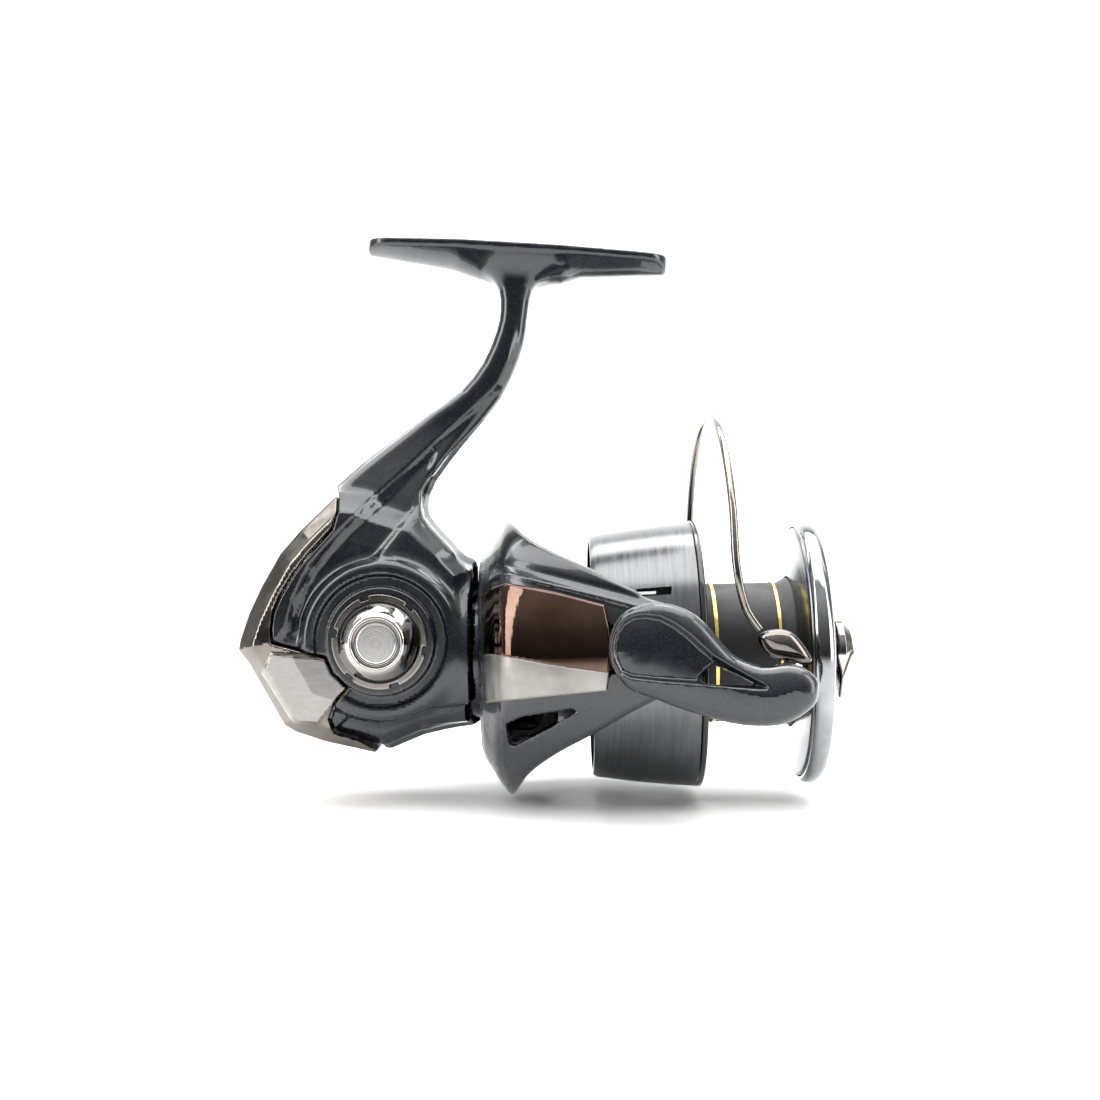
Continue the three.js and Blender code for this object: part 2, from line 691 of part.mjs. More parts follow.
const WIRE_R = 0.8;
function bailWire() {
  // Up from the roller block, round an arch in front of the skirt and down to the far arm.
  const ARCH_R = 36;
  const ARCH_Z = 12.5;
  const arch = Array.from({ length: 11 }, (_, i) => {
    const a = (-86 + i * 17.2) * DEG;
    return new THREE.Vector3(
      33 - Math.sin(a) * 1.3,
      Math.sin(a) * ARCH_R,
      ARCH_Z + Math.cos(a) * ARCH_R,
    );
  });
  const path = new THREE.CatmullRomCurve3([
    new THREE.Vector3(38.4, -34.1, 3.1),
    new THREE.Vector3(35.8, -35, 7.4),
    ...arch,
    new THREE.Vector3(31.2, 36.8, 8.6),
    new THREE.Vector3(30.6, 37.4, 5.2),
  ]);
  const ring = Array.from({ length: 8 }, (_, i) => [
    WIRE_R * Math.cos((i * Math.PI) / 4),
    WIRE_R * Math.sin((i * Math.PI) / 4),
  ]);
  return solid(
    new THREE.ExtrudeGeometry(outline(ring), { steps: 60, extrudePath: path }),
  );
}

// The line roller's axis leans towards the spool.
const ROLLER_AT = [43.6, -32.5, -6.4];
const ROLLER_LEAN = 16; // degrees from upright
const onRollerAxis = (made) =>
  made.rotate([0, -90, 0]).rotate([-ROLLER_LEAN, 0, 0]).translate(ROLLER_AT);

add("bail_arm_near", nearArm(), BODY_PAINT, rotorGroup);
add("bail_arm_far", farArm(), BODY_PAINT, rotorGroup);
add("bail_wire", bailWire(), STEEL, rotorGroup);
const pivotScrew = (side) =>
  turned([[28.6, 0], [28.6, 2.1], [side < 0 ? 38.2 : 39.5, 2.1], [side < 0 ? 38.2 : 39.5, 0]], 16)
    .rotate([0, 0, side * 90])
    .translate([PIVOT_X, 0, 0]);
add("pivot_screw_near", pivotScrew(-1), STEEL, rotorGroup);
add("pivot_screw_far", pivotScrew(1), STEEL, rotorGroup);
add("roller_pin", onRollerAxis(rod(-2.9, 3.2, 1, 10)), STEEL, rotorGroup);
add(
  "line_roller",
  onRollerAxis(
    turned([[-2.6, 1.3], [-2.6, 2.6], [-1, 2.1], [0.6, 2.1], [2.6, 3], [2.6, 1.3]], 24),
  ),
  CHROME,
  rotorGroup,
);
add(
  "wire_block",
  cut(
    slabY(
      outline([
        [38.6, 1.2], [39.2, 2.7], [42.5, 3], [44.6, 2.2], [47.4, -1.6], [47.6, -3.2],
        [43.6, -2.7], [40.4, -1.6],
      ]),
      -36.2,
      -31.2,
      0.8,
    ),
    onRollerAxis(rod(-4, 3.5, 3.4, 16)),
  ),
  ARM_CHROME,
  rotorGroup,
);

export default new THREE.Group().add(reel);
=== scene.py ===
import json
import math

import bpy
import numpy as np
from mathutils import Matrix, Vector


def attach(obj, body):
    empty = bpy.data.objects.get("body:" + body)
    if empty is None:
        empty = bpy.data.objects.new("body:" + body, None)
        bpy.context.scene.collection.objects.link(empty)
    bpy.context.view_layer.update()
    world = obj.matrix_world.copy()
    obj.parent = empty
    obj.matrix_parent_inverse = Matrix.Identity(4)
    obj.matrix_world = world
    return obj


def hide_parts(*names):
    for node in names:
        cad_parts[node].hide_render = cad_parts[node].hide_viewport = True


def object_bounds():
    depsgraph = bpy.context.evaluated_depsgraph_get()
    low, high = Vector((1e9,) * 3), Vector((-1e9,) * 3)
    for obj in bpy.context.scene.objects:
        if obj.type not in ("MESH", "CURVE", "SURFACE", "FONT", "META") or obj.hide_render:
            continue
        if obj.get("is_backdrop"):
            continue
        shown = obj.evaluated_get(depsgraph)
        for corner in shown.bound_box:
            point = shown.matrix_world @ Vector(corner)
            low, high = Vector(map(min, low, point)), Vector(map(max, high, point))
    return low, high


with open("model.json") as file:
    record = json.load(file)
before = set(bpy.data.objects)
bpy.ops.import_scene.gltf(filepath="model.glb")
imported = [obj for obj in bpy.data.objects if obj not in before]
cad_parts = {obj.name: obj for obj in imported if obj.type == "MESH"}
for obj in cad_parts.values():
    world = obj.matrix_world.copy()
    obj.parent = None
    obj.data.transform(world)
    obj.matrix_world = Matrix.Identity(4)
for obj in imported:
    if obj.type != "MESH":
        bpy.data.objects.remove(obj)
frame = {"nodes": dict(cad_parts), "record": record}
START_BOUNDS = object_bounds()
NODES = frame["nodes"]

# Every shape below is drawn in millimetres from the main shaft's axis, as the CAD part is:
# X forward along the shaft, -Y towards the camera, Z up. SHIFT carries it to the part's frame.
MM = 0.001
SHIFT = np.array([5.2, 0.0, -83.8])
ROTOR_TURN = math.radians(-5.5)
HANDLE_X, HANDLE_Z = -33.3, 4.6
FINE = 1.0
NORMAL_REACH = 0.06  # how far a field is sampled either side of the surface for its normals


# ---------- distance fields ----------
def poly(u, v, pts):
    """Signed distance to a closed outline, negative inside."""
    best = np.full(u.shape, 1e9)
    inside = np.zeros(u.shape, bool)
    for (ax, ay), (bx, by) in zip(pts, pts[1:] + pts[:1]):
        ex, ey = bx - ax, by - ay
        wx, wy = u - ax, v - ay
        t = np.clip((wx * ex + wy * ey) / max(ex * ex + ey * ey, 1e-9), 0, 1)
        dx, dy = wx - t * ex, wy - t * ey
        best = np.minimum(best, dx * dx + dy * dy)
        if ay != by:
            inside ^= ((ay > v) != (by > v)) & (u < ex * (v - ay) / ey + ax)
    return np.where(inside, -1, 1) * np.sqrt(best)


def curve(pts, per=3, closed=True):
    """Points of a smooth curve through the given ones."""
    n = len(pts)
    out = []
    for i in range(n if closed else n - 1):
        if closed:
            p = [np.array(pts[(i + k) % n], float) for k in (-1, 0, 1, 2)]
        else:
            p = [np.array(pts[min(max(i + k, 0), n - 1)], float) for k in (-1, 0, 1, 2)]
        for j in range(per):
            t = j / per
            q = 0.5 * (
                2 * p[1]
                + (p[2] - p[0]) * t
                + (2 * p[0] - 5 * p[1] + 4 * p[2] - p[3]) * t * t
                + (3 * p[1] - p[0] - 3 * p[2] + p[3]) * t**3
            )
            out.append(tuple(q))
    if not closed:
        out.append(tuple(pts[-1]))
    return out


def rmax(a, b, r):
    """Both, with the shared edge rounded."""
    return np.minimum(np.maximum(a, b), -r) + np.hypot(np.maximum(a + r, 0), np.maximum(b + r, 0))


def cmax(a, b, c):
    """Both, with the shared edge cut off flat."""
    return np.maximum(np.maximum(a, b), (a + b + c) * 0.7071)


def smin(a, b, k):
    """Either, blended over a width of k where they meet."""
    h = np.maximum(k - np.abs(a - b), 0) / k
    return np.minimum(a, b) - h * h * k * 0.25


def smax(a, b, k):
    """Both, blended over a width of k where they meet."""
    return -smin(-a, -b, k)


def step(d, width):
    """1 well inside a region and 0 outside it, across a slope of this width."""
    t = np.clip(0.5 - d / width, 0, 1)
    return t * t * (3 - 2 * t)


def rod_y(p, r, y0, y1, x=HANDLE_X, z=HANDLE_Z, soft=0.0):
    d = np.hypot(p[:, 0] - x, p[:, 2] - z) - r
    return rmax(d, np.abs(p[:, 1] - (y0 + y1) / 2) - (y1 - y0) / 2, soft)


def rod_x(p, r, x0, x1, soft=0.0):
    d = np.hypot(p[:, 1], p[:, 2]) - r
    return rmax(d, np.abs(p[:, 0] - (x0 + x1) / 2) - (x1 - x0) / 2, soft)


def profile(xs, ys):
    """A smooth height from a few places."""
    return lambda x: np.interp(x, xs, ys)


# ---------- meshes ----------
def field_mesh(f, lo, hi, h):
    """A fine closed mesh of f = 0, with its exact normals."""
    h = h * FINE
    block = 4
    lo, hi = np.array(lo, float), np.array(hi, float)
    n = (np.ceil((hi - lo) / h / block).astype(int)) * block + 1
    axes = [lo[i] + h * np.arange(n[i]) for i in range(3)]
    coarse = [a[::block] for a in axes]
    shape = [len(c) for c in coarse]
    grid = np.stack(np.meshgrid(*coarse, indexing="ij"), -1).reshape(-1, 3)
    value = f(grid).reshape(shape)
    low = value
    for i in range(3):
        a = np.take(low, range(low.shape[i] - 1), i)
        b = np.take(low, range(1, low.shape[i]), i)
        low = np.where(np.abs(a) < np.abs(b), a, b)
    near = np.abs(low) < block * h * 2.0
    dense = value[:-1, :-1, :-1]
    for i in range(3):
        dense = np.repeat(dense, block, i)
    dense = np.pad(dense, [(0, 1)] * 3, mode="edge")
    mask = np.zeros(n, bool)
    for i, j, k in np.argwhere(near):
        a, b, c = i * block, j * block, k * block
        mask[a : a + block + 1, b : b + block + 1, c : c + block + 1] = True
    at = np.argwhere(mask)
    dense[mask] = f(lo + at * h)
    inside = dense < 0
    count = sum(
        inside[i : n[0] - 1 + i, j : n[1] - 1 + j, k : n[2] - 1 + k].astype(np.int8)
        for i in (0, 1)
        for j in (0, 1)
        for k in (0, 1)
    )
    mixed = (count > 0) & (count < 8)
    index = np.full(mixed.shape, -1)
    index[mixed] = np.arange(mixed.sum())
    cells = np.argwhere(mixed)
    total = np.zeros((len(cells), 3))
    hits = np.zeros(len(cells))
    for axis in range(3):
        u, v = [i for i in range(3) if i != axis]
        for i in (0, 1):
            for j in (0, 1):
                a = np.zeros(3, int)
                a[u], a[v] = i, j
                b = a.copy()
                b[axis] = 1
                va = dense[tuple((cells + a).T)]
                vb = dense[tuple((cells + b).T)]
                cross = (va < 0) != (vb < 0)
                t = np.where(cross, va / np.where(cross, va - vb, 1), 0)
                total += np.where(cross[:, None], a + t[:, None] * (b - a), 0)
                hits += cross
    points = lo + (cells + total / hits[:, None]) * h
    quads = []
    for axis in range(3):
        u, v = (axis + 1) % 3, (axis + 2) % 3
        a = [slice(None)] * 3
        b = [slice(None)] * 3
        a[axis], b[axis] = slice(0, n[axis] - 1), slice(1, n[axis])
        first, second = inside[tuple(a)], inside[tuple(b)]
        for keep, flip in ((first & ~second, False), (~first & second, True)):
            e = np.argwhere(keep)
            e = e[(e[:, u] > 0) & (e[:, v] > 0) & (e[:, u] < n[u] - 1) & (e[:, v] < n[v] - 1)]
            du, dv = np.zeros(3, int), np.zeros(3, int)
            du[u], dv[v] = 1, 1
            loop = [index[tuple(q.T)] for q in (e - du - dv, e - dv, e, e - du)]
            quad = np.stack(loop[::-1] if flip else loop, 1)
            quads.append(quad[(quad >= 0).all(1)])
    quads = np.concatenate(quads)

    def slope(p, e=0.03):
        here = f(p)
        return here, np.stack([(f(p + e * np.eye(3)[k]) - here) / e for k in range(3)], 1)

    for _ in range(2):
        here, g = slope(points)
        move = -here[:, None] * g / np.maximum((g * g).sum(1), 0.1)[:, None]
        length = np.maximum(np.linalg.norm(move, axis=1), 1e-9)
        points = points + move * np.minimum(1, 0.7 * h / length)[:, None]
    _, ahead = slope(points, NORMAL_REACH)
    _, behind = slope(points, -NORMAL_REACH)
    g = ahead + behind
    normals = g / np.maximum(np.linalg.norm(g, axis=1), 1e-9)[:, None]
    return points, quads, normals


def turn_rotor(p):
    c, s = math.cos(ROTOR_TURN), math.sin(ROTOR_TURN)
    return np.stack([p[:, 0], p[:, 1] * c - p[:, 2] * s, p[:, 1] * s + p[:, 2] * c], 1)


def piece(name, points, faces, body, material, replaces=(), normals=None, rotor=False, flat=False):
    points = np.asarray(points, float)
    if rotor:
        points = turn_rotor(points)
        if normals is not None:
            normals = turn_rotor(normals)
    mesh = bpy.data.meshes.new(name)
    mesh.from_pydata(((points + SHIFT) * MM).tolist(), [], [list(map(int, q)) for q in faces])
    mesh.update()
    mesh.polygons.foreach_set("use_smooth", [not flat] * len(mesh.polygons))
    if normals is not None:
        mesh.normals_split_custom_set_from_vertices(normals.tolist())
    obj = bpy.data.objects.new(name, mesh)
    bpy.context.scene.collection.objects.link(obj)
    materials = material if isinstance(material, (list, tuple)) else [material]
    for m in materials:
        mesh.materials.append(m)
    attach(obj, body)
    if replaces:
        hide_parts(*replaces)
    return obj


def field_piece(name, f, lo, hi, h, body, material, replaces=(), rotor=False):
    points, quads, normals = field_mesh(f, lo, hi, h)
    return piece(name, points, quads, body, material, replaces, normals, rotor)


def sort_faces(obj, second, rotor=False):
    """Gives the second material to the faces that second(x, y, z) picks, in shaft coordinates."""
    mesh = obj.data
    centres = np.zeros(len(mesh.polygons) * 3)
    mesh.polygons.foreach_get("center", centres)
    c = centres.reshape(-1, 3) / MM - SHIFT
    if rotor:
        k, s = math.cos(-ROTOR_TURN), math.sin(-ROTOR_TURN)
        c = np.stack([c[:, 0], c[:, 1] * k - c[:, 2] * s, c[:, 1] * s + c[:, 2] * k], 1)
    mesh.polygons.foreach_set("material_index", second(c).astype(np.int32))
    mesh.update()


def eased(profile_points, r=0.25, steps=3):
    """The profile with each corner turned into a small arc."""
    n = len(profile_points)
    out = []
    for i, p in enumerate(profile_points):
        p = np.array(p, float)
        a = np.array(profile_points[i - 1], float) - p
        b = np.array(profile_points[(i + 1) % n], float) - p
        la, lb = np.linalg.norm(a), np.linalg.norm(b)
        bend = abs(a[0] * b[1] - a[1] * b[0]) / max(la * lb, 1e-9)
        if p[1] <= 1e-6 or bend < 0.12:
            out.append(tuple(p))
            continue
        cut = min(r, la * 0.4, lb * 0.4)
        for k in range(steps + 1):
            t = k / steps
            q = (1 - t) ** 2 * (p + a / la * cut) + 2 * t * (1 - t) * p + t * t * (p + b / lb * cut)
            out.append(tuple(q))
    return out


def lathe(profile_points, segments=192, ease=0.25):
    """A closed profile of (along, radius) turned about X."""
    pts = eased(profile_points, ease)
    if sum(a[0] * b[1] - b[0] * a[1] for a, b in zip(pts, pts[1:] + pts[:1])) > 0:
        pts = pts[::-1]
    points, rings = [], []
    for along, r in pts:
        if r <= 1e-6:
            rings.append([len(points)])
            points.append((along, 0, 0))
        else:
            rings.append(list(range(len(points), len(points) + segments)))
            for j in range(segments):
                t = 2 * math.pi * j / segments
                points.append((along, r * math.cos(t), r * math.sin(t)))
    faces = []
    for a, b in zip(rings, rings[1:] + rings[:1]):
        for j in range(segments):
            k = (j + 1) % segments
            if len(a) == 1 and len(b) == 1:
                continue
            if len(a) == 1:
                faces.append((a[0], b[k], b[j]))
            elif len(b) == 1:
                faces.append((a[j], a[k], b[0]))
            else:
                faces.append((a[j], a[k], b[k], b[j]))
    return np.array(points), faces


def to_y(points, x=HANDLE_X, z=HANDLE_Z):
    """Stands a shape turned about X on an axis along Y."""
    return np.stack([x - points[:, 1], points[:, 0], z + points[:, 2]], 1)


def lathe_piece(name, pts, body, material, replaces=(), axis="x", x=HANDLE_X, z=HANDLE_Z,
                segments=192, ease=0.25):
    points, faces = lathe(pts, segments, ease)
    if axis == "y":
        points = to_y(points, x, z)
    obj = piece(name, points, faces, body, material, replaces)
    sharpen(obj)
    return obj


def sharpen(obj, angle=38):
    obj.data.set_sharp_from_angle(angle=math.radians(angle))


# ---------- materials ----------
def material(name):
    m = bpy.data.materials.new(name)
    m.use_nodes = True
    tree = m.node_tree
    shader = tree.nodes["Principled BSDF"]
    return m, tree, shader


def link(tree, a, b):
    tree.links.new(a, b)


def place(tree, scale=(1, 1, 1)):
    coord = tree.nodes.new("ShaderNodeTexCoord")
    mapping = tree.nodes.new("ShaderNodeMapping")
    mapping.inputs["Scale"].default_value = scale
    link(tree, coord.outputs["Object"], mapping.inputs["Vector"])
    return mapping.outputs["Vector"]


def noise(tree, vector, scale, detail=4.0, rough=0.55):
    n = tree.nodes.new("ShaderNodeTexNoise")
    n.inputs["Scale"].default_value = scale
    n.inputs["Detail"].default_value = detail
    n.inputs["Roughness"].default_value = rough
    link(tree, vector, n.inputs["Vector"])
    return n.outputs["Fac"]


def spread(tree, value, low, high, a=0.35, b=0.65):
    r = tree.nodes.new("ShaderNodeMapRange")
    r.inputs["From Min"].default_value = a
    r.inputs["From Max"].default_value = b
    r.inputs["To Min"].default_value = low
    r.inputs["To Max"].default_value = high
    link(tree, value, r.inputs["Value"])
    return r.outputs["Result"]


def ramp(tree, value, stops):
    r = tree.nodes.new("ShaderNodeValToRGB")
    while len(r.color_ramp.elements) < len(stops):
        r.color_ramp.elements.new(0.5)
    for e, (at, colour) in zip(r.color_ramp.elements, stops):
        e.position = at
        e.color = (*colour, 1)
    link(tree, value, r.inputs["Fac"])
    return r.outputs["Color"]


def bump(tree, shader, height, strength, distance=0.0001):
    b = tree.nodes.new("ShaderNodeBump")
    b.inputs["Strength"].default_value = strength
    b.inputs["Distance"].default_value = distance
    link(tree, height, b.inputs["Height"])
    link(tree, b.outputs["Normal"], shader.inputs["Normal"])


def flake_paint(name, base, flake, metallic=0.35, rough=(0.16, 0.3), coat=1.0):
    """Dark lacquer over fine metal flakes."""
    m, tree, s = material(name)
    p = place(tree)
    cells = tree.nodes.new("ShaderNodeTexVoronoi")
    cells.inputs["Scale"].default_value = 9000
    link(tree, p, cells.inputs["Vector"])
    speck = tree.nodes.new("ShaderNodeSeparateColor")
    link(tree, cells.outputs["Color"], speck.inputs["Color"])
    colour = ramp(tree, speck.outputs["Red"], [(0.0, base), (0.72, base), (1.0, flake)])
    link(tree, colour, s.inputs["Base Color"])
    s.inputs["Metallic"].default_value = metallic
    cloud = noise(tree, p, 160, 6)
    link(tree, spread(tree, cloud, *rough), s.inputs["Roughness"])
    bump(tree, s, noise(tree, p, 1400, 3), 0.05, 0.00004)
    s.inputs["Coat Weight"].default_value = coat
    s.inputs["Coat Roughness"].default_value = 0.03
    return m


def plated(name, dark, light, rough=(0.04, 0.12), grain=0.03, grain_scale=900):
    """Plated or polished metal with faint handling marks."""
    m, tree, s = material(name)
    p = place(tree)
    cloud = noise(tree, p, 90, 8, 0.65)
    link(tree, ramp(tree, cloud, [(0.3, dark), (0.7, light)]), s.inputs["Base Color"])
    s.inputs["Metallic"].default_value = 1.0
    link(tree, spread(tree, noise(tree, p, 420, 6), *rough), s.inputs["Roughness"])
    bump(tree, s, noise(tree, p, grain_scale, 5), grain, 0.00005)
    return m


def brushed(name, dark, light, stretch, rough=(0.16, 0.36), grain=0.12):
    """Metal with grain along one way."""
    m, tree, s = material(name)
    p = place(tree, stretch)
    lines = noise(tree, p, 1600, 5, 0.6)
    link(tree, ramp(tree, lines, [(0.3, dark), (0.7, light)]), s.inputs["Base Color"])
    s.inputs["Metallic"].default_value = 1.0
    link(tree, spread(tree, lines, *rough), s.inputs["Roughness"])
    bump(tree, s, lines, grain, 0.00003)
    return m


def turned_metal(name, dark, light, centre, axis="y", pitch=5200, rough=(0.1, 0.26), grain=0.25):
    """Metal with the rings a lathe leaves round an axis."""
    m, tree, s = material(name)
    coord = tree.nodes.new("ShaderNodeTexCoord")
    offset = tree.nodes.new("ShaderNodeVectorMath")
    offset.operation = "SUBTRACT"
    offset.inputs[1].default_value = centre
    link(tree, coord.outputs["Object"], offset.inputs[0])
    keep = tree.nodes.new("ShaderNodeVectorMath")
    keep.operation = "MULTIPLY"
    keep.inputs[1].default_value = (1, 0, 1) if axis == "y" else (0, 1, 1)
    link(tree, offset.outputs["Vector"], keep.inputs[0])
    length = tree.nodes.new("ShaderNodeVectorMath")
    length.operation = "LENGTH"
    link(tree, keep.outputs["Vector"], length.inputs[0])
    wave = tree.nodes.new("ShaderNodeMath")
    wave.operation = "MULTIPLY"
    wave.inputs[1].default_value = pitch
    link(tree, length.outputs["Value"], wave.inputs[0])
    ring = tree.nodes.new("ShaderNodeTexNoise")
    ring.noise_dimensions = "1D"
    ring.inputs["Scale"].default_value = 1.0
    ring.inputs["Detail"].default_value = 4.0
    link(tree, wave.outputs["Value"], ring.inputs["W"])
    link(tree, ramp(tree, ring.outputs["Fac"], [(0.3, dark), (0.7, light)]), s.inputs["Base Color"])
    s.inputs["Metallic"].default_value = 1.0
    link(tree, spread(tree, ring.outputs["Fac"], *rough), s.inputs["Roughness"])
    bump(tree, s, ring.outputs["Fac"], grain, 0.00003)
    return m


def soft_stuff(name, dark, light, scale, rough=(0.6, 0.85), depth=0.3, distance=0.0002):
    """Rubber, felt or moulded plastic with a fine surface."""
    m, tree, s = material(name)
    p = place(tree)
    grain = noise(tree, p, scale, 6, 0.6)
    link(tree, ramp(tree, grain, [(0.3, dark), (0.7, light)]), s.inputs["Base Color"])
    link(tree, spread(tree, grain, *rough), s.inputs["Roughness"])
    bump(tree, s, grain, depth, distance)
    s.inputs["Specular IOR Level"].default_value = 0.25
    return m


def row(x, y, z):
    return tuple((np.array([x, y, z]) + SHIFT) * MM)


PAINT = flake_paint("body_lacquer", (0.0025, 0.003, 0.0052), (0.018, 0.024, 0.038), 0.1, (0.2, 0.3), 0.5)
ROTOR_PAINT = flake_paint("rotor_lacquer", (0.0035, 0.004, 0.006), (0.02, 0.023, 0.032), 0.1, (0.2, 0.3),
    0.5)
COVER = plated("dark_plate", (0.13, 0.115, 0.1), (0.22, 0.2, 0.18), (0.12, 0.26))
COVER_FACET = brushed("satin_facet", (0.25, 0.243, 0.232), (0.31, 0.3, 0.288), (0.3, 1, 1), (0.34, 0.46),
    0.05)
ARM_PLATE = plated("brown_plate", (0.07, 0.043, 0.032), (0.13, 0.085, 0.065), (0.03, 0.09))
ARM_SATIN = plated("satin_plate", (0.22, 0.212, 0.2), (0.32, 0.31, 0.292), (0.3, 0.46), 0.08, 2600)
POLISHED = plated("polished", (0.36, 0.34, 0.32), (0.47, 0.45, 0.43), (0.04, 0.1))
RING = plated("ring_plate", (0.2, 0.185, 0.17), (0.28, 0.262, 0.245), (0.07, 0.15))
DISC = turned_metal("disc", (0.5, 0.5, 0.49), (0.72, 0.71, 0.7), row(HANDLE_X, 0, HANDLE_Z))
SKIRT = brushed("skirt_anodised", (0.11, 0.112, 0.116), (0.15, 0.153, 0.158), (1, 0.05, 0.05), (0.2, 0.26),
    0.02)
BLACK = flake_paint("black_lacquer", (0.003, 0.003, 0.004), (0.012, 0.012, 0.014), 0.1, (0.1, 0.2), 0.4)
ARBOR_BLACK = flake_paint("arbor_black", (0.003, 0.003, 0.0035), (0.008, 0.008, 0.009), 0.0, (0.46, 0.6),
    0.0)
GOLD = plated("gold_line", (0.55, 0.4, 0.1), (0.75, 0.58, 0.18), (0.12, 0.24))
LIP = turned_metal("lip_turned", (0.11, 0.115, 0.125), (0.17, 0.175, 0.19), row(0, 0, 0), "x", 2600,
    (0.14, 0.26), 0.08)
LIP_RIM = plated("lip_rim", (0.2, 0.204, 0.214), (0.32, 0.326, 0.34), (0.05, 0.12))
WIRE = brushed("wire_steel", (0.16, 0.145, 0.13), (0.26, 0.242, 0.22), (1, 1, 1), (0.1, 0.2), 0.04)
STEEL = brushed("plain_steel", (0.2, 0.2, 0.205), (0.3, 0.3, 0.305), (1, 0.1, 0.1))
BRASS = plated("brass", (0.5, 0.34, 0.12), (0.68, 0.5, 0.22), (0.15, 0.3))
RUBBER = soft_stuff("rubber", (0.012, 0.012, 0.013), (0.03, 0.03, 0.032), 2200)
FELT = soft_stuff("felt", (0.16, 0.155, 0.14), (0.3, 0.29, 0.26), 3800, (0.85, 1.0), 0.8)
SEAL = soft_stuff("seal", (0.03, 0.04, 0.055), (0.06, 0.075, 0.1), 1200, (0.4, 0.55), 0.15)
KNOB_BLACK = soft_stuff("knob_black", (0.012, 0.012, 0.014), (0.028, 0.028, 0.03), 1500, (0.35, 0.5), 0.2)
BOSS_PLATE = plated("boss_plate", (0.1, 0.09, 0.083), (0.17, 0.155, 0.145), (0.05, 0.12))

# ---------- housing ----------
CASE = [
    (-15.4, 18.3), (-20.2, 23.7), (-26, 29.1), (-36.6, 32.6), (-42.1, 33.5), (-44.2, 31.6),
    (-49.4, 26.7), (-53.6, 22.1), (-57.5, 15.5), (-60.1, 10.2), (-61.9, 5.1), (-62.3, 3.1),
    (-60.3, 0.5), (-53.4, -12.1), (-51.3, -13.4), (-45.2, -15.5), (-38.9, -17), (-33.3, -18.4),
    (-26.3, -15.6), (-20, -13.6), (-15.4, -12.3),
]
STEM_BACK = curve([
    (-10.9, 78.6), (-9.4, 74.7), (-9.2, 70.8), (-10.1, 66.5), (-12.9, 60.2), (-17.4, 54.7),
    (-23.4, 50.5),
    (-31.4, 44.8), (-37.4, 40.2), (-43.9, 34.2)], 2, False)
STEM_FRONT = curve([
    (-19.5, 21.5), (-23.8, 27.3), (-24.8, 31), (-22.9, 36.3), (-16.8, 44.1), (-9.5, 52.7),
    (-5.6, 60.8),
    (-4.1, 66), (-3.2, 72.5), (-1.6, 76.4), (3.1, 79.2)], 2, False)
STEM = STEM_BACK + [(-50, 27), (-40, 18), (-26, 14)] + STEM_FRONT + [(2, 81), (-10, 82)]
CAVITY = [
    (-19, 15.5), (-26, 22.3), (-42, 25), (-51.2, 18.8), (-56.2, 12.4), (-58.6, 7.2), (-60.2, 3),
    (-58.8, 0), (-51.6, -10.6), (-33, -12.6), (-19, -8.8),
]
COVER_EDGE = [
    (-43.6, 38), (-41.7, 33), (-41.6, 30), (-42.7, 26.5), (-47.3, 21.7), (-50.3, 18), (-52.9, 13.9),
    (-54.4, 10.6), (-54.9, 7.3), (-54.7, 4.6), (-44.2, 1.8), (-42.8, -1.6), (-39.5, -4.2),
    (-42.5, -7.4), (-43.8, -10.7), (-43, -13.4), (-38.5, -14.9), (-35.2, -16.9), (-34.2, -19),
    (-34, -26), (-72, -26), (-72, 38),
]
# The raised band that runs down the back of the stem and round the case.
BAND = [
    (-6.2, 66), (-7.4, 60), (-9.6, 55.4), (-15, 50.3), (-22.8, 43.9), (-34.5, 33), (-42.2, 25.2),
    (-47.4, 19.4), (-50.6, 13), (-52.2, 7.2), (-53.6, 5), (-72, 5), (-72, 60), (-20, 84), (-8, 84),
    (-6, 74),
]
HOLLOW = curve([
    (-23, 42), (-31.7, 33.4), (-40.2, 25.7), (-46.1, 19.1), (-48.9, 13.3), (-50.6, 6.6), (-44, 4.4),
    (-38, 9),
    (-35, 20), (-27, 30)], 2)
LEDGE = [(-38.6, -8.8), (-33.5, -9.3), (-15, -7.9), (-8, -7.9), (-8, -30), (-46, -30), (-43.5, -13.2)]
FACET = [(-54.7, 2.6), (-44.4, 1.4), (-40.4, -4.6), (-46.1, -11.2), (-51.1, -11.1), (-57.1, -1.5)]
FOOT_TILT = math.radians(4.4)
FOOT_X, FOOT_Z = -SHIFT[0], -SHIFT[2]


def case_outer(p):
    x, y, z = p.T
    d = poly(x, z, CASE)
    slope = 16.9 - 0.22 * np.maximum(0, 9 + d) - 0.35 * step(poly(x, z, HOLLOW), 3)
    side = np.abs(y) - slope
    return d, smax(cmax(d, side, 3.4), rmax(d, side, 1.2), 0.6)


def foot(p):
    x, y, z = p.T
    c, s = math.cos(FOOT_TILT), math.sin(FOOT_TILT)
    u = (x - FOOT_X) * c - (z - FOOT_Z) * s
    w = (x - FOOT_X) * s + (z - FOOT_Z) * c
    half = np.interp(u, [-31, -27, -12, 8, 25, 31], [4.2, 5.6, 8.5, 8.5, 6.2, 4.2])
    plan = rmax(np.abs(y) - half, np.abs(u + 0.2) - 30.6, 3.2)
    ridge = np.interp(u, [-31, -14, -8, 9, 13, 31], [3.1, 5, 6.6, 6.6, 5.2, 3.6])
    thick = ridge - (ridge - 1.5) * np.clip(np.abs(y) / half, 0, 1) ** 1.5
    return rmax(plan, np.abs(w + thick / 2) - thick / 2, 0.55)


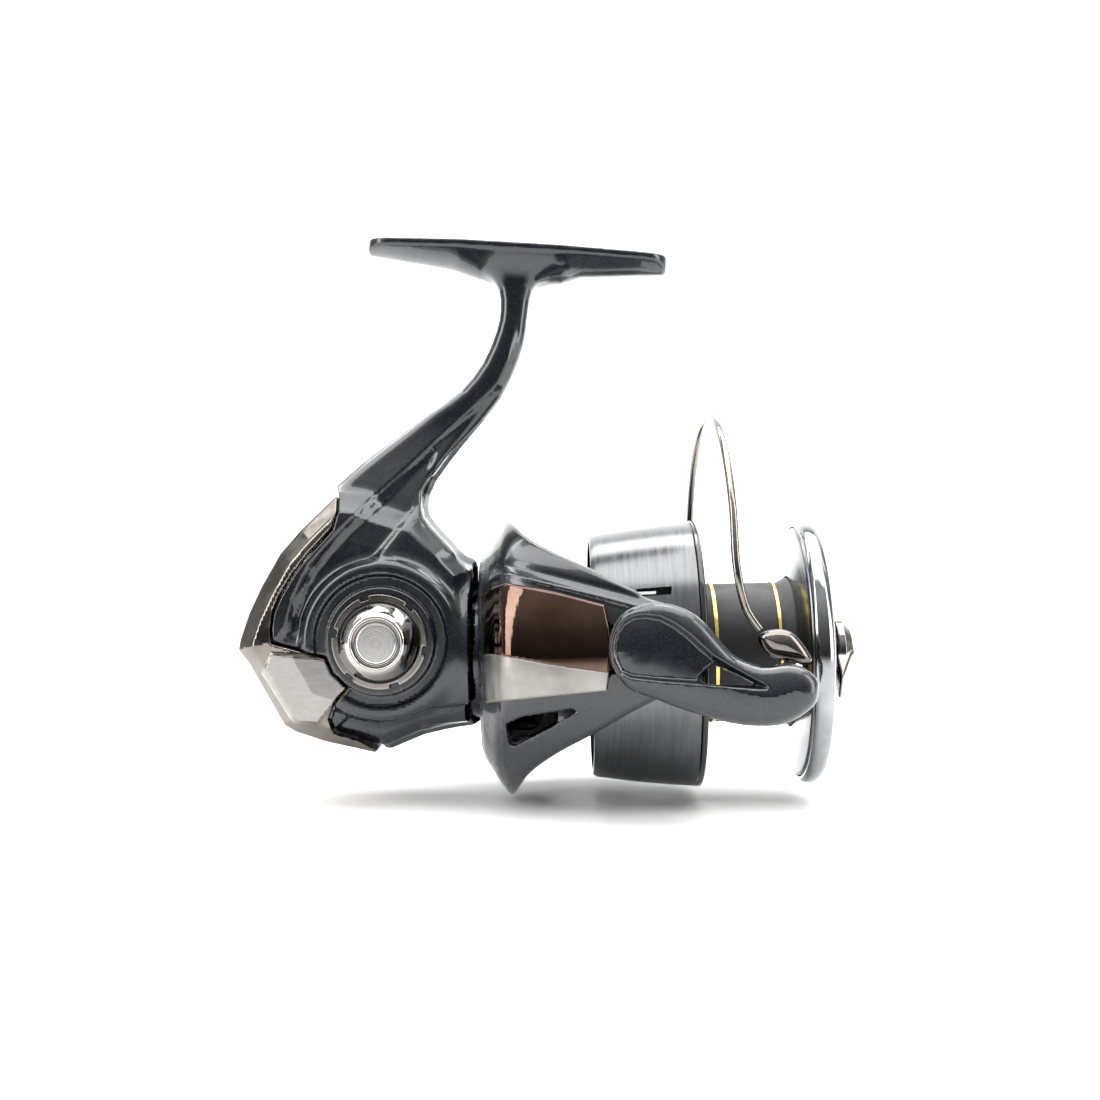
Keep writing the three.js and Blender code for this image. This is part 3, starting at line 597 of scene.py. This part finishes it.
def inner_space(p):
    x, y, z = p.T
    hollow = cmax(poly(x, z, CAVITY), np.abs(y - 0.6) - 14.1, 4.0)
    hollow = np.minimum(hollow, rod_y(p, 7.3, -60, 5))
    hollow = np.minimum(hollow, rod_y(p, 16.4, 5, 60))
    hollow = np.minimum(hollow, rod_x(p, 6.2, -22, 10))
    hollow = np.minimum(hollow, rod_x(p, 8.3, -14.6, 10))
    return np.minimum(hollow, rod_x(p, 10.4, -9.9, 10))


def body_solid(p):
    x, y, z = p.T
    radial = np.hypot(x - HANDLE_X, z - HANDLE_Z)
    d, case = case_outer(p)
    # The stem widens as it runs into the case.
    t = np.clip((50 - z) / 24, 0, 1)
    half = 5.6 + 7.2 * t * t * (3 - 2 * t)
    stem_d = poly(x, z, STEM)
    stem = rmax(stem_d, np.abs(y) - half, 2.4)
    barrel = rmax(np.hypot(y, z) - (18.6 + (x + 26) * 0.15), np.abs(x + 20.7) - 5.2, 0.7)
    barrel = rmax(barrel, -13.4 - z, 1.5)
    solid = smin(case, stem, 3.2)
    solid = smin(solid, barrel, 3.0)
    # A raised step along the band, a hollow inside it and a ledge low down.
    band = step(poly(x, z, BAND), 1.5)
    hollow = step(poly(x, z, HOLLOW), 2.2)
    ledge = step(poly(x, z, LEDGE), 0.9)
    sideways = np.clip((np.abs(y) - 2.5) / 3, 0, 1) * np.clip((76 - z) / 14, 0, 1)
    solid = solid + sideways * (0.8 - 0.8 * band + 0.9 * hollow + 0.9 * ledge)
    # The round boss of the bearing on the near side, with a dished top.
    boss = rmax(radial - 15.6, np.abs(y + 13.8) - 4.4, 1.6)
    solid = smin(solid, boss, 2.6)
    dish = rmax(radial - 12.9, np.abs(y + 20.4) - 2.9, 0.4)
    solid = smax(solid, -dish, 0.5)
    collar = rmax(radial - 10.6, np.abs(y + 14.6) - 4.5, 0.5)
    solid = smin(solid, collar, 0.4)
    solid = smin(solid, foot(p), 4.0)
    neck = rod_x(p, 12.5, -18, -3.6, 0.4)
    return np.minimum(solid, neck)


def cover_region(p, grow):
    x, y, z = p.T
    edge = poly(x, z, COVER_EDGE)
    radial = np.hypot(x - HANDLE_X, z - HANDLE_Z)
    keep = np.where(y < 0, 10.9, 17.3)
    return np.maximum(edge, keep - radial) + grow


def housing(p):
    solid = body_solid(p)
    solid = rmax(solid, -cover_region(p, -0.1), 0.35)
    return np.maximum(solid, -inner_space(p))


def rear_cover(p):
    x, y, z = p.T
    d, solid = case_outer(p)
    facet = step(poly(x, z, FACET), 0.8) * (y < 0)
    solid = solid - 0.35 * facet - 0.15
    return np.maximum(rmax(solid, cover_region(p, 0.28), 0.35), -inner_space(p))


field_piece("housing_skin", housing, (-66, -21.5, -22), (28, 20, 88), 0.46, "housing", PAINT,
            ["body_housing"])
cover = field_piece("cover_skin", rear_cover, (-66.5, -19.5, -22), (-32, 19.5, 37), 0.45, "housing",
                    [COVER, COVER_FACET], ["rear_cover"])
sort_faces(cover, lambda c: (poly(c[:, 0], c[:, 2], FACET) < -0.25) & (c[:, 1] < -14))


def bearing_ring(p):
    x, y, z = p.T
    radial = np.hypot(x - HANDLE_X, z - HANDLE_Z)
    ring = rmax(np.abs(radial - 8.05) - 1.15, np.abs(y + 20.05) - 0.55, 0.2)
    for i in range(6):
        a = math.radians(i * 60 + 12)
        u = (x - HANDLE_X) * math.cos(a) - (z - HANDLE_Z) * math.sin(a)
        v = (x - HANDLE_X) * math.sin(a) + (z - HANDLE_Z) * math.cos(a)
        ring = rmax(ring, -rmax(np.abs(v) - 0.9, 8.4 - u, 0.15), 0.12)
    return ring


field_piece("ring_skin", bearing_ring, (HANDLE_X - 10, -21, HANDLE_Z - 10),
    (HANDLE_X + 10, -19, HANDLE_Z + 10),
            0.22, "housing", RING, ["bearing_ring"])
lathe_piece("cap_skin", [
    (-17.4, 0), (-17.4, 6.5), (-20.9, 6.5), (-20.9, 8), (-21.9, 8.05), (-22.8, 7.7), (-24.4, 6.9),
    (-26, 5.9), (-26.7, 5.3), (-26.9, 4.9), (-26.6, 4.6), (-25.9, 4.5), (-25.9, 4.2), (-26.3, 4.1),
    (-26.3, 3.8),
    (-25.6, 0)],
    "housing", POLISHED, ["handle_cap"], "y", ease=0.18)
lathe_piece("cap_disc", [(-25.7, 0), (-25.7, 3.75), (-26.35, 3.75), (-26.45, 3.55), (-26.3, 0)], "housing",
    DISC,
            [], "y", ease=0.05)
lathe_piece("plate_skin", [
    (13.2, 7.2), (13.2, 16), (17.6, 16), (18.6, 15.2), (18.8, 14.4), (18.8, 13.2), (18.2, 12.8),
    (18.2, 11.6),
    (18.9, 11.2), (21, 10.2), (21.4, 9.4), (21.4, 4), (19.4, 4), (19.4, 7.2)], "housing", PAINT,
    ["engine_plate"], "y")

# ---------- rotor ----------
ARM_X = [-14.1, -12.6, -10.6, -8.2, -3, 6, 14, 28]
ARM_R = [20.7, 22.9, 26, 28.6, 30.6, 32, 33.3, 34]
SPINE = np.array(curve(list(zip(ARM_X, ARM_R)), 8, False))
outer_r = profile(SPINE[:, 0], SPINE[:, 1])
inner_r = profile([-14.1, -11, -6.5, -2, 14, 28], [18, 18.6, 24.6, 26.2, 27.3, 28.6])
EDGE = curve([(-8.6, 28.8), (-5.4, 23.8), (-1.9, 20.9), (2.2, 18.4), (7.1, 15.9), (14.2, 11.9), (21, 8.6)],
    2, False)
ARM_SIDE = ([(-20, -40), (-9, -40)] + [(x, -z) for x, z in EDGE] + [(25.6, -6.6), (27.3, -3.4), (27.6, 0),
    (27.3, 3.4),
            (25.6, 6.6)] + EDGE[::-1] + [(-9, 40), (-20, 40)])
SLOT = [(-9, -13.6), (-8.4, -17.4), (-7.4, -17.6), (-0.5, -14.2), (4.4, -11.4), (3.6, -10.9), (-6, -12.2)]
CUP = [(-14.1, 16.4), (-14.1, 20.2), (-11, 20.6), (-9, 18.6), (1, 18), (1, 3.4), (-1.8, 3.4), (-1.8, 13.6),
    (-4, 16.4)]
COVER_FACE = [(-13, 11.4), (-11.4, 12.6), (-8.2, 13.2), (1, 11), (9.9, 8.3), (10.6, 4), (10.9, 0),
    (10.5, -4), (9.9, -7.8),
              (-13, -9.6)]


def rotor(p):
    x, y, z = p.T
    r = np.hypot(y, z)
    shell = rmax(r - outer_r(x), inner_r(x) - r, 0.7)
    shell = rmax(shell, np.abs(x - 7) - 21.1, 0.5)
    arms = rmax(shell, poly(x, z, ARM_SIDE), 1.1)
    # Two ribs above the cover's place, and a shallow valley behind them.
    line = np.interp(x, [-14, -10.7, -8.2, -0.4, 7.6, 16], [13.4, 14.8, 14.9, 12.6, 10.3, 7.8])
    rib = np.exp(-((np.abs(z) - line) / 0.55) ** 2) * 0.4
    valley = np.exp(-((np.abs(z) - line - 1.9) / 0.9) ** 2) * 0.45
    upper = np.clip((z + 4) / 3, 0, 1)
    arms = arms - (rib - valley) * upper * (r > 24) * (np.abs(y) > 8)
    cup = poly(x, r, CUP)
    solid = smin(arms, cup, 0.8)
    pocket = rmax(rmax(np.abs(x - 4.25) - 7.25, np.abs(z) - 4.6, 1), 28.3 - np.abs(y), 0.2)
    slot = rmax(poly(x, np.where(y < 0, z, -z), SLOT), 8 - np.abs(y), 0.2)
    pivot = np.hypot(x - 19, z) - 2.4
    solid = rmax(solid, -slot, 0.4)
    solid = np.maximum(solid, -pocket)
    solid = np.maximum(solid, -np.maximum(pivot, 20 - np.abs(y)))
    return solid


def arm_cover(side):
    def f(p):
        x, y, z = p.T
        r = np.hypot(y, z)
        base = outer_r(x)
        low = np.interp(x, [-14, -10.7, -0.4, 10.6], [-0.3, -0.4, -2.6, -4.4])
        drop = 0.3 * step(z - low, 0.35)
        pillow = 0.35 * np.clip(1 - (z - 2) ** 2 / 110, 0, 1)
        skin = rmax(r - (base + 1.55 + pillow - drop), base + 0.35 - r, 0.35)
        face = poly(x, z, COVER_FACE)
        pivot = 8.3 - np.hypot(x - 19, z + 0.3)
        return rmax(rmax(rmax(skin, face, 0.6), pivot, 0.4), 5 - side * y, 0.1)

    return f


def satin_part(c):
    low = np.interp(c[:, 0], [-14, -10.7, -0.4, 10.6], [-0.3, -0.4, -2.6, -4.4])
    return c[:, 2] < low


field_piece("rotor_skin", rotor, (-15.5, -36, -30.5), (29.5, 36, 30.5), 0.5, "rotor", ROTOR_PAINT,
            ["rotor"], rotor=True)
for label, side in (("near", -1), ("far", 1)):
    lo = (-14.5, -36.5, -11.5) if side < 0 else (-14.5, 18, -11.5)
    hi = (12.5, -18, 15) if side < 0 else (12.5, 36.5, 15)
    plate = field_piece(f"arm_cover_{label}_skin", arm_cover(side), lo, hi, 0.3, "rotor",
        [ARM_PLATE, ARM_SATIN],
                        [f"arm_cover_{label}"], rotor=True)
    sort_faces(plate, satin_part, rotor=True)

# ---------- bail ----------
NEAR_ARM = curve([
    (10.2, -0.9), (11.5, 4.5), (14.7, 7.3), (20.4, 8.1), (26.3, 5.7), (31.2, 0.2), (33.6, -2.1),
    (38, -3.8), (42.5, -3.5), (45.4, -4.1), (47.7, -6), (48.1, -8.3), (47.2, -11), (43.3, -13.7),
    (38.8, -14.6), (31.9, -13.9),
    (23, -11.1), (18.6, -9.3), (13.2, -6.9)], 3)
NEAR_DISH = curve([
    (14.6, 5.4), (12, 3), (11.2, -0.6), (12, -3.4), (14.2, -5.3), (25.6, -6.5), (36.8, -7.6),
    (37, -6.9), (29, -2.2),
    (24.5, 2), (19.6, 5.2)], 2)
NEAR_HOLE = [(25.9, -5.7), (27.6, -4.1), (28.9, -3), (36.6, -6.9), (36.4, -7.3), (27.5, -6.9)]


def bail_near(p):
    x, y, z = p.T
    d = poly(x, z, NEAR_ARM)
    crown = 2.6 * (1 - np.exp(d / 2.6)) * (d < 0)
    dish = 1.5 * step(poly(x, z, NEAR_DISH), 1.3)
    top = -40.4 - crown + dish
    solid = rmax(rmax(d, y + 36.6, 1.2), top - y, 1.3)
    hub = rod_y(p, 5.6, -37.2, -35.9, 19, 0, 0.3)
    solid = np.minimum(solid, hub)
    hole = rmax(poly(x, z, NEAR_HOLE), np.abs(y + 40) - 12, 0.1)
    bore = rod_y(p, 2.5, -39.4, -30, 19, 0)
    return np.maximum(rmax(solid, -hole, 0.3), -bore)


FAR_ARM = curve([(12.6, 0), (15, 5), (20, 6.4), (27, 4.4), (32.4, 4), (33.4, 1), (27, -4), (20, -6),
    (15, -5)], 3)


def bail_far(p):
    x, y, z = p.T
    d = poly(x, z, FAR_ARM)
    top = 38.0 + 1.3 * (1 - np.exp(d / 2.0)) * (d < 0)
    solid = rmax(rmax(d, y - top, 0.8), 36.2 - y, 0.6)
    return np.maximum(solid, -rod_y(p, 2.5, 30, 50, 19, 0))


ROLLER = np.array([43.6, -32.5, -6.4])
LEAN = math.radians(16)
ROLLER_AXIS = np.array([0, math.sin(LEAN), math.cos(LEAN)])
BLOCK = curve([(38.2, 1), (39, 2.6), (42.5, 3.1), (45, 2), (47.6, -1.8), (47.4, -3.2), (43.6, -2.9),
    (40, -1.8)], 3)


def wire_block(p):
    x, y, z = p.T
    d = poly(x, z, BLOCK)
    crown = 1.7 * (1 - np.exp(np.minimum(d, 0) / 1.1))
    solid = rmax(d, np.abs(y + 33.7) - 0.9 - crown, 0.5)
    rel = p - ROLLER
    along = rel @ ROLLER_AXIS
    away = np.linalg.norm(rel - along[:, None] * ROLLER_AXIS, axis=1)
    return rmax(solid, -rmax(away - 3.3, np.abs(along) - 3.2, 0.2), 0.25)


field_piece("bail_near_skin", bail_near, (8.5, -44.5, -16.5), (49.5, -35, 10), 0.36, "bail", PAINT,
            ["bail_arm_near"], rotor=True)
field_piece("bail_far_skin", bail_far, (11, 35.5, -8), (35, 40.5, 8), 0.36, "bail", PAINT,
            ["bail_arm_far"], rotor=True)
field_piece("wire_block_skin", wire_block, (36.5, -37, -5), (49, -30.5, 5), 0.24, "bail", BOSS_PLATE,
            ["wire_block"], rotor=True)


def swept(path, r, sides=28, per=10):
    spine = np.array(curve(path, per, False))
    tangent = np.gradient(spine, axis=0)
    tangent /= np.linalg.norm(tangent, axis=1)[:, None]
    normal = np.cross(tangent[0], [0, 0, 1.0])
    normal /= np.linalg.norm(normal)
    points, faces = [], []
    for i, (c, t) in enumerate(zip(spine, tangent)):
        normal = normal - t * (normal @ t)
        normal /= np.linalg.norm(normal)
        side = np.cross(t, normal)
        for j in range(sides):
            a = 2 * math.pi * j / sides
            points.append(c + r * (math.cos(a) * normal + math.sin(a) * side))
        if i:
            b = (i - 1) * sides
            for j in range(sides):
                k = (j + 1) % sides
                faces.append((b + j, b + k, b + sides + k, b + sides + j))
    last = len(points) - sides
    faces.append(tuple(range(sides))[::-1])
    faces.append(tuple(range(last, last + sides)))
    return np.array(points), faces


WIRE_R = 0.8
ARCH_R, ARCH_X, ARCH_Z = 36, 33, 12.5
arch = []
for i in range(11):
    a = math.radians(-86 + i * 17.2)
    arch.append((ARCH_X - math.sin(a) * 1.3, math.sin(a) * ARCH_R, ARCH_Z + math.cos(a) * ARCH_R))
WIRE_PATH = [(38.4, -34.1, 3.1), (35.8, -35, 7.4)] + arch + [(31.2, 36.8, 8.6), (30.6, 37.4, 5.2)]
points, faces = swept(WIRE_PATH, WIRE_R)
wire = piece("wire_skin", points, faces, "bail", WIRE, ["bail_wire"], rotor=True)
sharpen(wire, 50)

points, faces = lathe([(-2.6, 1.3), (-2.6, 2.5), (-2.2, 2.6), (-1.2, 2.1), (0.6, 2.05), (2.2, 2.8),
    (2.6, 2.95), (2.6, 1.3)],
                      128, 0.15)
# Stand the roller on its leaning axis.
along = points[:, 0:1] * ROLLER_AXIS
across = points[:, 1:2] * np.array([0, math.cos(LEAN), -math.sin(LEAN)]) + points[:,
    2:3] * np.array([-1.0, 0, 0])
points = ROLLER + along + across
roller = piece("roller_skin", points, [f[::-1] for f in faces], "roller", POLISHED,
    ["line_roller"],
               rotor=True)
sharpen(roller)

# ---------- spool ----------
SKIRT_PROFILE = [
    (7.9, 24.4), (8.6, 24.85), (9.4, 25.0), (13, 25.5), (16.5, 26.0), (23.2, 26.72), (27.6, 27.05),
    (28.3, 27.1), (28.3, 25.9), (29.5, 25.6), (30.4, 15.6), (29.8, 14.6), (28.6, 13.8), (27, 25.4),
    (23.2, 25.2), (16.5, 24.8), (9, 23.5), (7.9, 23.3),
]


def skirt():
    """The skirt and back flange, with three slots through the skirt."""
    segments = 288
    pts = SKIRT_PROFILE
    points = []
    for along, r in pts:
        for j in range(segments):
            t = 2 * math.pi * j / segments
            points.append((along, r * math.sin(t), r * math.cos(t)))
    n = len(pts)
    outer, inner = 4, 14  # the profile's steps that a slot crosses, outside and inside
    # A slot every third of a turn, three segments wide.
    cut = {(segments * 5 // 6 + k * segments // 3 + w) % segments for k in range(3) for w in (-1, 0, 1)}
    faces = []
    for i in range(n):
        for j in range(segments):
            if i in (outer, inner) and j in cut:
                continue
            k = (j + 1) % segments
            a, b = i * segments, ((i + 1) % n) * segments
            faces.append((a + j, b + j, b + k, a + k))
    for j in cut:
        k = (j + 1) % segments
        o0, o1 = outer * segments, (outer + 1) * segments
        i0, i1 = (inner + 1) * segments, inner * segments
        faces.append((o0 + j, o0 + k, i0 + k, i0 + j)[::-1])
        faces.append((o1 + j, i1 + j, i1 + k, o1 + k)[::-1])
        if (j - 1) % segments not in cut:
            faces.append((o0 + j, i0 + j, i1 + j, o1 + j)[::-1])
        if k not in cut:
            faces.append((o0 + k, o1 + k, i1 + k, i0 + k)[::-1])
    return np.array(points), faces


points, faces = skirt()
skirt_obj = piece("skirt_skin", points, faces, "spool", SKIRT, ["spool_body"])
sharpen(skirt_obj, 24)
lathe_piece("arbor_skin", [
    (30.7, 13.6), (30.7, 14.2), (46.4, 14.2), (48.2, 15.1), (52, 15.1), (52, 12.6), (38.5, 12.6),
    (38.5, 2.1), (20.1, 2.1),
    (20.1, 6), (36.3, 7.5), (36.3, 12.4), (31.6, 12.4)], "spool", ARBOR_BLACK, [])
lathe_piece("gold_line_back", [(32.3, 14.3), (32.3, 14.42), (33, 14.42), (33, 14.3)], "spool", GOLD,
    [],
            ease=0.03)
lathe_piece("gold_line_front", [(45, 14.3), (45, 14.42), (45.6, 14.42), (45.6, 14.3)], "spool", GOLD,
    [],
            ease=0.03)
lathe_piece("skirt_ring_skin", [(28.6, 26.2), (28.6, 27.2), (29.4, 27.2), (29.7, 26.9), (29.7, 26.2)],
    "spool", BLACK,
            ["skirt_ring"], ease=0.12)
lathe_piece("lip_skin", [
    (48.5, 15.4), (49.5, 24.9), (49.7, 25.2), (50.4, 25.6), (50.8, 25.6), (51.1, 24.9), (52.3, 22.5),
    (52.2, 16.5),
    (52.4, 15.4)], "spool", LIP, ["spool_lip"], ease=0.2)
lathe_piece("lip_rim_skin", [
    (49.9, 25.5), (49.9, 26.2), (50.6, 26.8), (51.6, 27), (52.6, 26.9), (53.5, 26.3), (53.9, 25.4),
    (53.8, 24.6),
    (53.2, 23.4), (52.4, 22.6), (51.2, 25.1), (50.8, 25.7), (50.4, 25.75)], "spool", LIP_RIM,
    [],
    ease=0.25)

# ---------- drag knob ----------
lathe_piece("drag_knob_skin", [
    (44, 2.1), (44, 9.6), (52.3, 9.6), (52.3, 14.4), (54.6, 14.4), (56, 13.4), (56.4, 12.4),
    (56.8, 9.4), (57, 7.6),
    (57, 2.1)], "drag_adjuster", PAINT, ["drag_knob"], ease=0.4)


def drag_grip(p):
    x, y, z = p.T
    a = math.radians(35)
    u = y * math.cos(a) + z * math.sin(a)
    v = -y * math.sin(a) + z * math.cos(a)
    top = np.interp(np.abs(u), [0, 4.2, 5.6, 12.4], [61.4, 61.4, 60.5, 57.8])
    bar = rmax(rmax(x - top, 57.35 - x, 0.35), rmax(np.abs(v) - 3.2, np.abs(u) - 12.3, 1.2), 0.7)
    hub = rmax(np.hypot(y, z) - np.interp(x, [57.9, 59.5, 61.4], [6.3, 6.3, 4.4]), np.abs(x - 59.6) - 1.75,
        0.5)
    return smin(bar, hub, 0.5)


field_piece("drag_grip_skin", drag_grip, (56.8, -13.5, -13.5), (62.2, 13.5, 13.5), 0.3, "drag_adjuster",
    RING,
            ["drag_knob_grip"])

# ---------- handle ----------
KNOB_X = HANDLE_X + 55
HANDLE_PLAN = curve([
    (HANDLE_X - 6, 27.5), (HANDLE_X - 5.5, 32.5), (-20, 36.5), (5, 49.5), (14, 52.4), (KNOB_X + 4.5, 52.8),
    (KNOB_X + 5, 49.6), (14, 48.6), (7, 46), (-18, 32), (-28, 27.6)], 3)
HANDLE_SIDE = curve([
    (HANDLE_X - 6.4, 0), (HANDLE_X, 6.2), (-12, 4.2), (10, 3.8), (KNOB_X, 5), (KNOB_X + 5.4, 0),
    (KNOB_X, -5),
    (10, -3.8), (-12, -4.2), (HANDLE_X, -6.2)], 3)


def handle_arm(p):
    x, y, z = p.T
    blank = rmax(poly(x, y, HANDLE_PLAN), poly(x, z - HANDLE_Z, HANDLE_SIDE), 1.1)
    return rmax(blank, -rod_y(p, 4.6, 20, 40), 0.3)


field_piece("handle_arm_skin", handle_arm, (-42, 25.5, -4), (30, 55, 14), 0.45, "crank", PAINT,
            ["handle_arm"])
lathe_piece("collar_skin", [
    (21.7, 3.6), (21.7, 8.2), (23.3, 8.2), (23.8, 7.7), (25.2, 6.4), (26.2, 6.2), (26.2, 3.6)], "crank",
    RING,
    ["handle_collar"], "y")
lathe_piece("knob_skin", [
    (53.8, 2.6), (53.8, 5.8), (54.6, 6.2), (56, 6.5), (57.6, 8.2), (59, 10.6), (60.4, 13.2), (62, 15),
    (64, 15.9),
    (66.5, 16), (69, 15.3), (71, 13.7), (72.6, 11.6), (73.3, 10), (73.4, 8.3), (72.6, 8.1), (72.6, 2.6)],
    "knob", RUBBER,
    ["knob_grip"], "y", x=KNOB_X, ease=0.6)
lathe_piece("knob_cap_skin", [(72.9, 0), (72.9, 7.8), (73.6, 7.6), (74.4, 6.6), (74.9, 3.5), (75, 0)],
    "knob", RING,
            ["knob_end_cap"], "y", x=KNOB_X, ease=0.2)

# ---------- the CAD nodes that are kept take better materials ----------
KEPT = {
    "brass": BRASS, "steel": STEEL, "felt": FELT, "seal": SEAL, "spool_black": KNOB_BLACK,
    "bright_chrome": POLISHED, "body_paint": PAINT, "arm_chrome": BOSS_PLATE, "spool_grey": SKIRT,
    "cover_chrome": COVER, "grip_rubber": RUBBER,
}
slots = {s["node"]: s["material_slot"] for s in frame["record"]["subparts"]}
for name, obj in NODES.items():
    for holder in obj.material_slots:
        holder.material = KEPT[slots[name]]


# ---------- stage ----------
TILT = math.radians(1.1)  # the picture's level against the shaft
UP = Vector((math.sin(TILT), 0, math.cos(TILT)))
RIGHT = Vector((math.cos(TILT), 0, -math.sin(TILT)))
BACK = Vector((0, 1, 0))
FLOOR_Z = -29.15
CAMERA_AT = (0, -323, 21.75)
SENSOR, LENS = 36, 51.3
SWEEP_HALF, SWEEP_TOP = 2600, 2200
SWEEP_START, SWEEP_R = 450, 350


def studio_point(u, v, w):
    """A place on the stage: across, away from the camera and up from the floor, in millimetres."""
    base = Vector(((0 + SHIFT[0]) * MM, 0, (FLOOR_Z + SHIFT[2]) * MM))
    return base + RIGHT * (u * MM) + BACK * (v * MM) + UP * (w * MM)


floor_material, tree, shader = material("floor_paper")
paper = noise(tree, place(tree), 60, 5)
# The paper is pale round the object and painted darker well in front of it, a painted shade so that flat
# faces stay dark.
reach = tree.nodes.new("ShaderNodeSeparateXYZ")
link(tree, place(tree), reach.inputs["Vector"])
floor_painted_shade = spread(tree, reach.outputs["Y"], 0.0, 1.0, -0.5, -0.2)
link(tree, ramp(tree, floor_painted_shade, [(0.0, (0.3, 0.3, 0.3)), (1.0, (0.89, 0.89, 0.89))]),
    shader.inputs["Base Color"])
link(tree, spread(tree, paper, 0.55, 0.65), shader.inputs["Roughness"])
shader.inputs["Specular IOR Level"].default_value = 0.3
rows = [(-1200, 0), (SWEEP_START, 0)]
for i in range(1, 17):
    a = math.pi / 2 * i / 16
    rows.append((SWEEP_START + SWEEP_R * math.sin(a), SWEEP_R - SWEEP_R * math.cos(a)))
rows.append((SWEEP_START + SWEEP_R, SWEEP_TOP))
verts, quads = [], []
for v, w in rows:
    verts += [tuple(studio_point(-SWEEP_HALF, v, w)), tuple(studio_point(SWEEP_HALF, v, w))]
for i in range(len(rows) - 1):
    quads.append((2 * i, 2 * i + 1, 2 * i + 3, 2 * i + 2))
sweep_mesh = bpy.data.meshes.new("sweep")
sweep_mesh.from_pydata(verts, [], quads)
sweep_mesh.polygons.foreach_set("use_smooth", [True] * len(quads))
sweep = bpy.data.objects.new("sweep", sweep_mesh)
sweep_mesh.materials.append(floor_material)
bpy.context.scene.collection.objects.link(sweep)
sweep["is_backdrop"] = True


def softbox(name, at, aim, size, power, colour=(1, 1, 1)):
    light = bpy.data.lights.new(name, "AREA")
    light.shape = "RECTANGLE"
    light.size, light.size_y = size
    light.energy = power
    light.color = colour
    obj = bpy.data.objects.new(name, light)
    obj.location = at
    obj.rotation_euler = (aim - at).to_track_quat("-Z", "Y").to_euler()
    bpy.context.scene.collection.objects.link(obj)
    obj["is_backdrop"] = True


middle = studio_point(0, 0, 50)
softbox("top_box", studio_point(0, 60, 620), middle, (0.9, 0.7), 9.0)
softbox("left_box", studio_point(-620, -260, 330), middle, (0.25, 0.7), 4.0)
softbox("right_box", studio_point(620, -200, 300), middle, (0.25, 0.7), 3.5)
softbox("back_wash", studio_point(0, 380, 700), studio_point(0, 760, 200), (1.6, 0.5), 10.0)

world = bpy.data.worlds.new("studio")
bpy.context.scene.world = world
world.use_nodes = True
tree = world.node_tree
background = tree.nodes["Background"]
coord = tree.nodes.new("ShaderNodeTexCoord")
split = tree.nodes.new("ShaderNodeSeparateXYZ")
link(tree, coord.outputs["Generated"], split.inputs["Vector"])
overhead = spread(tree, split.outputs["Z"], 0.0, 1.0, 0.05, 0.75)
behind = spread(tree, split.outputs["Y"], 0.0, 1.0, -0.25, 0.35)
either = tree.nodes.new("ShaderNodeMath")
either.operation = "MAXIMUM"
link(tree, overhead, either.inputs[0])
link(tree, behind, either.inputs[1])
sky = ramp(tree, either.outputs["Value"], [(0.0, (0.11, 0.106, 0.104)), (0.4, (0.3, 0.29, 0.28)),
    (1.0, (1, 1, 1))])
link(tree, sky, background.inputs["Color"])
background.inputs["Strength"].default_value = 0.9

camera_data = bpy.data.cameras.new("camera")
camera_data.sensor_width = SENSOR
camera_data.lens = LENS
camera_data.clip_start = 0.01
camera = bpy.data.objects.new("camera", camera_data)
bpy.context.scene.collection.objects.link(camera)
axes = Matrix((RIGHT, UP, -BACK)).transposed()
camera.matrix_world = Matrix.Translation(Vector(row(*CAMERA_AT))) @ axes.to_4x4()
bpy.context.scene.camera = camera
bpy.context.scene.view_settings.view_transform = "Standard"

as_lists = lambda b: [[float(v) for v in corner] for corner in b]
{"start": as_lists(START_BOUNDS), "end": as_lists(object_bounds())}
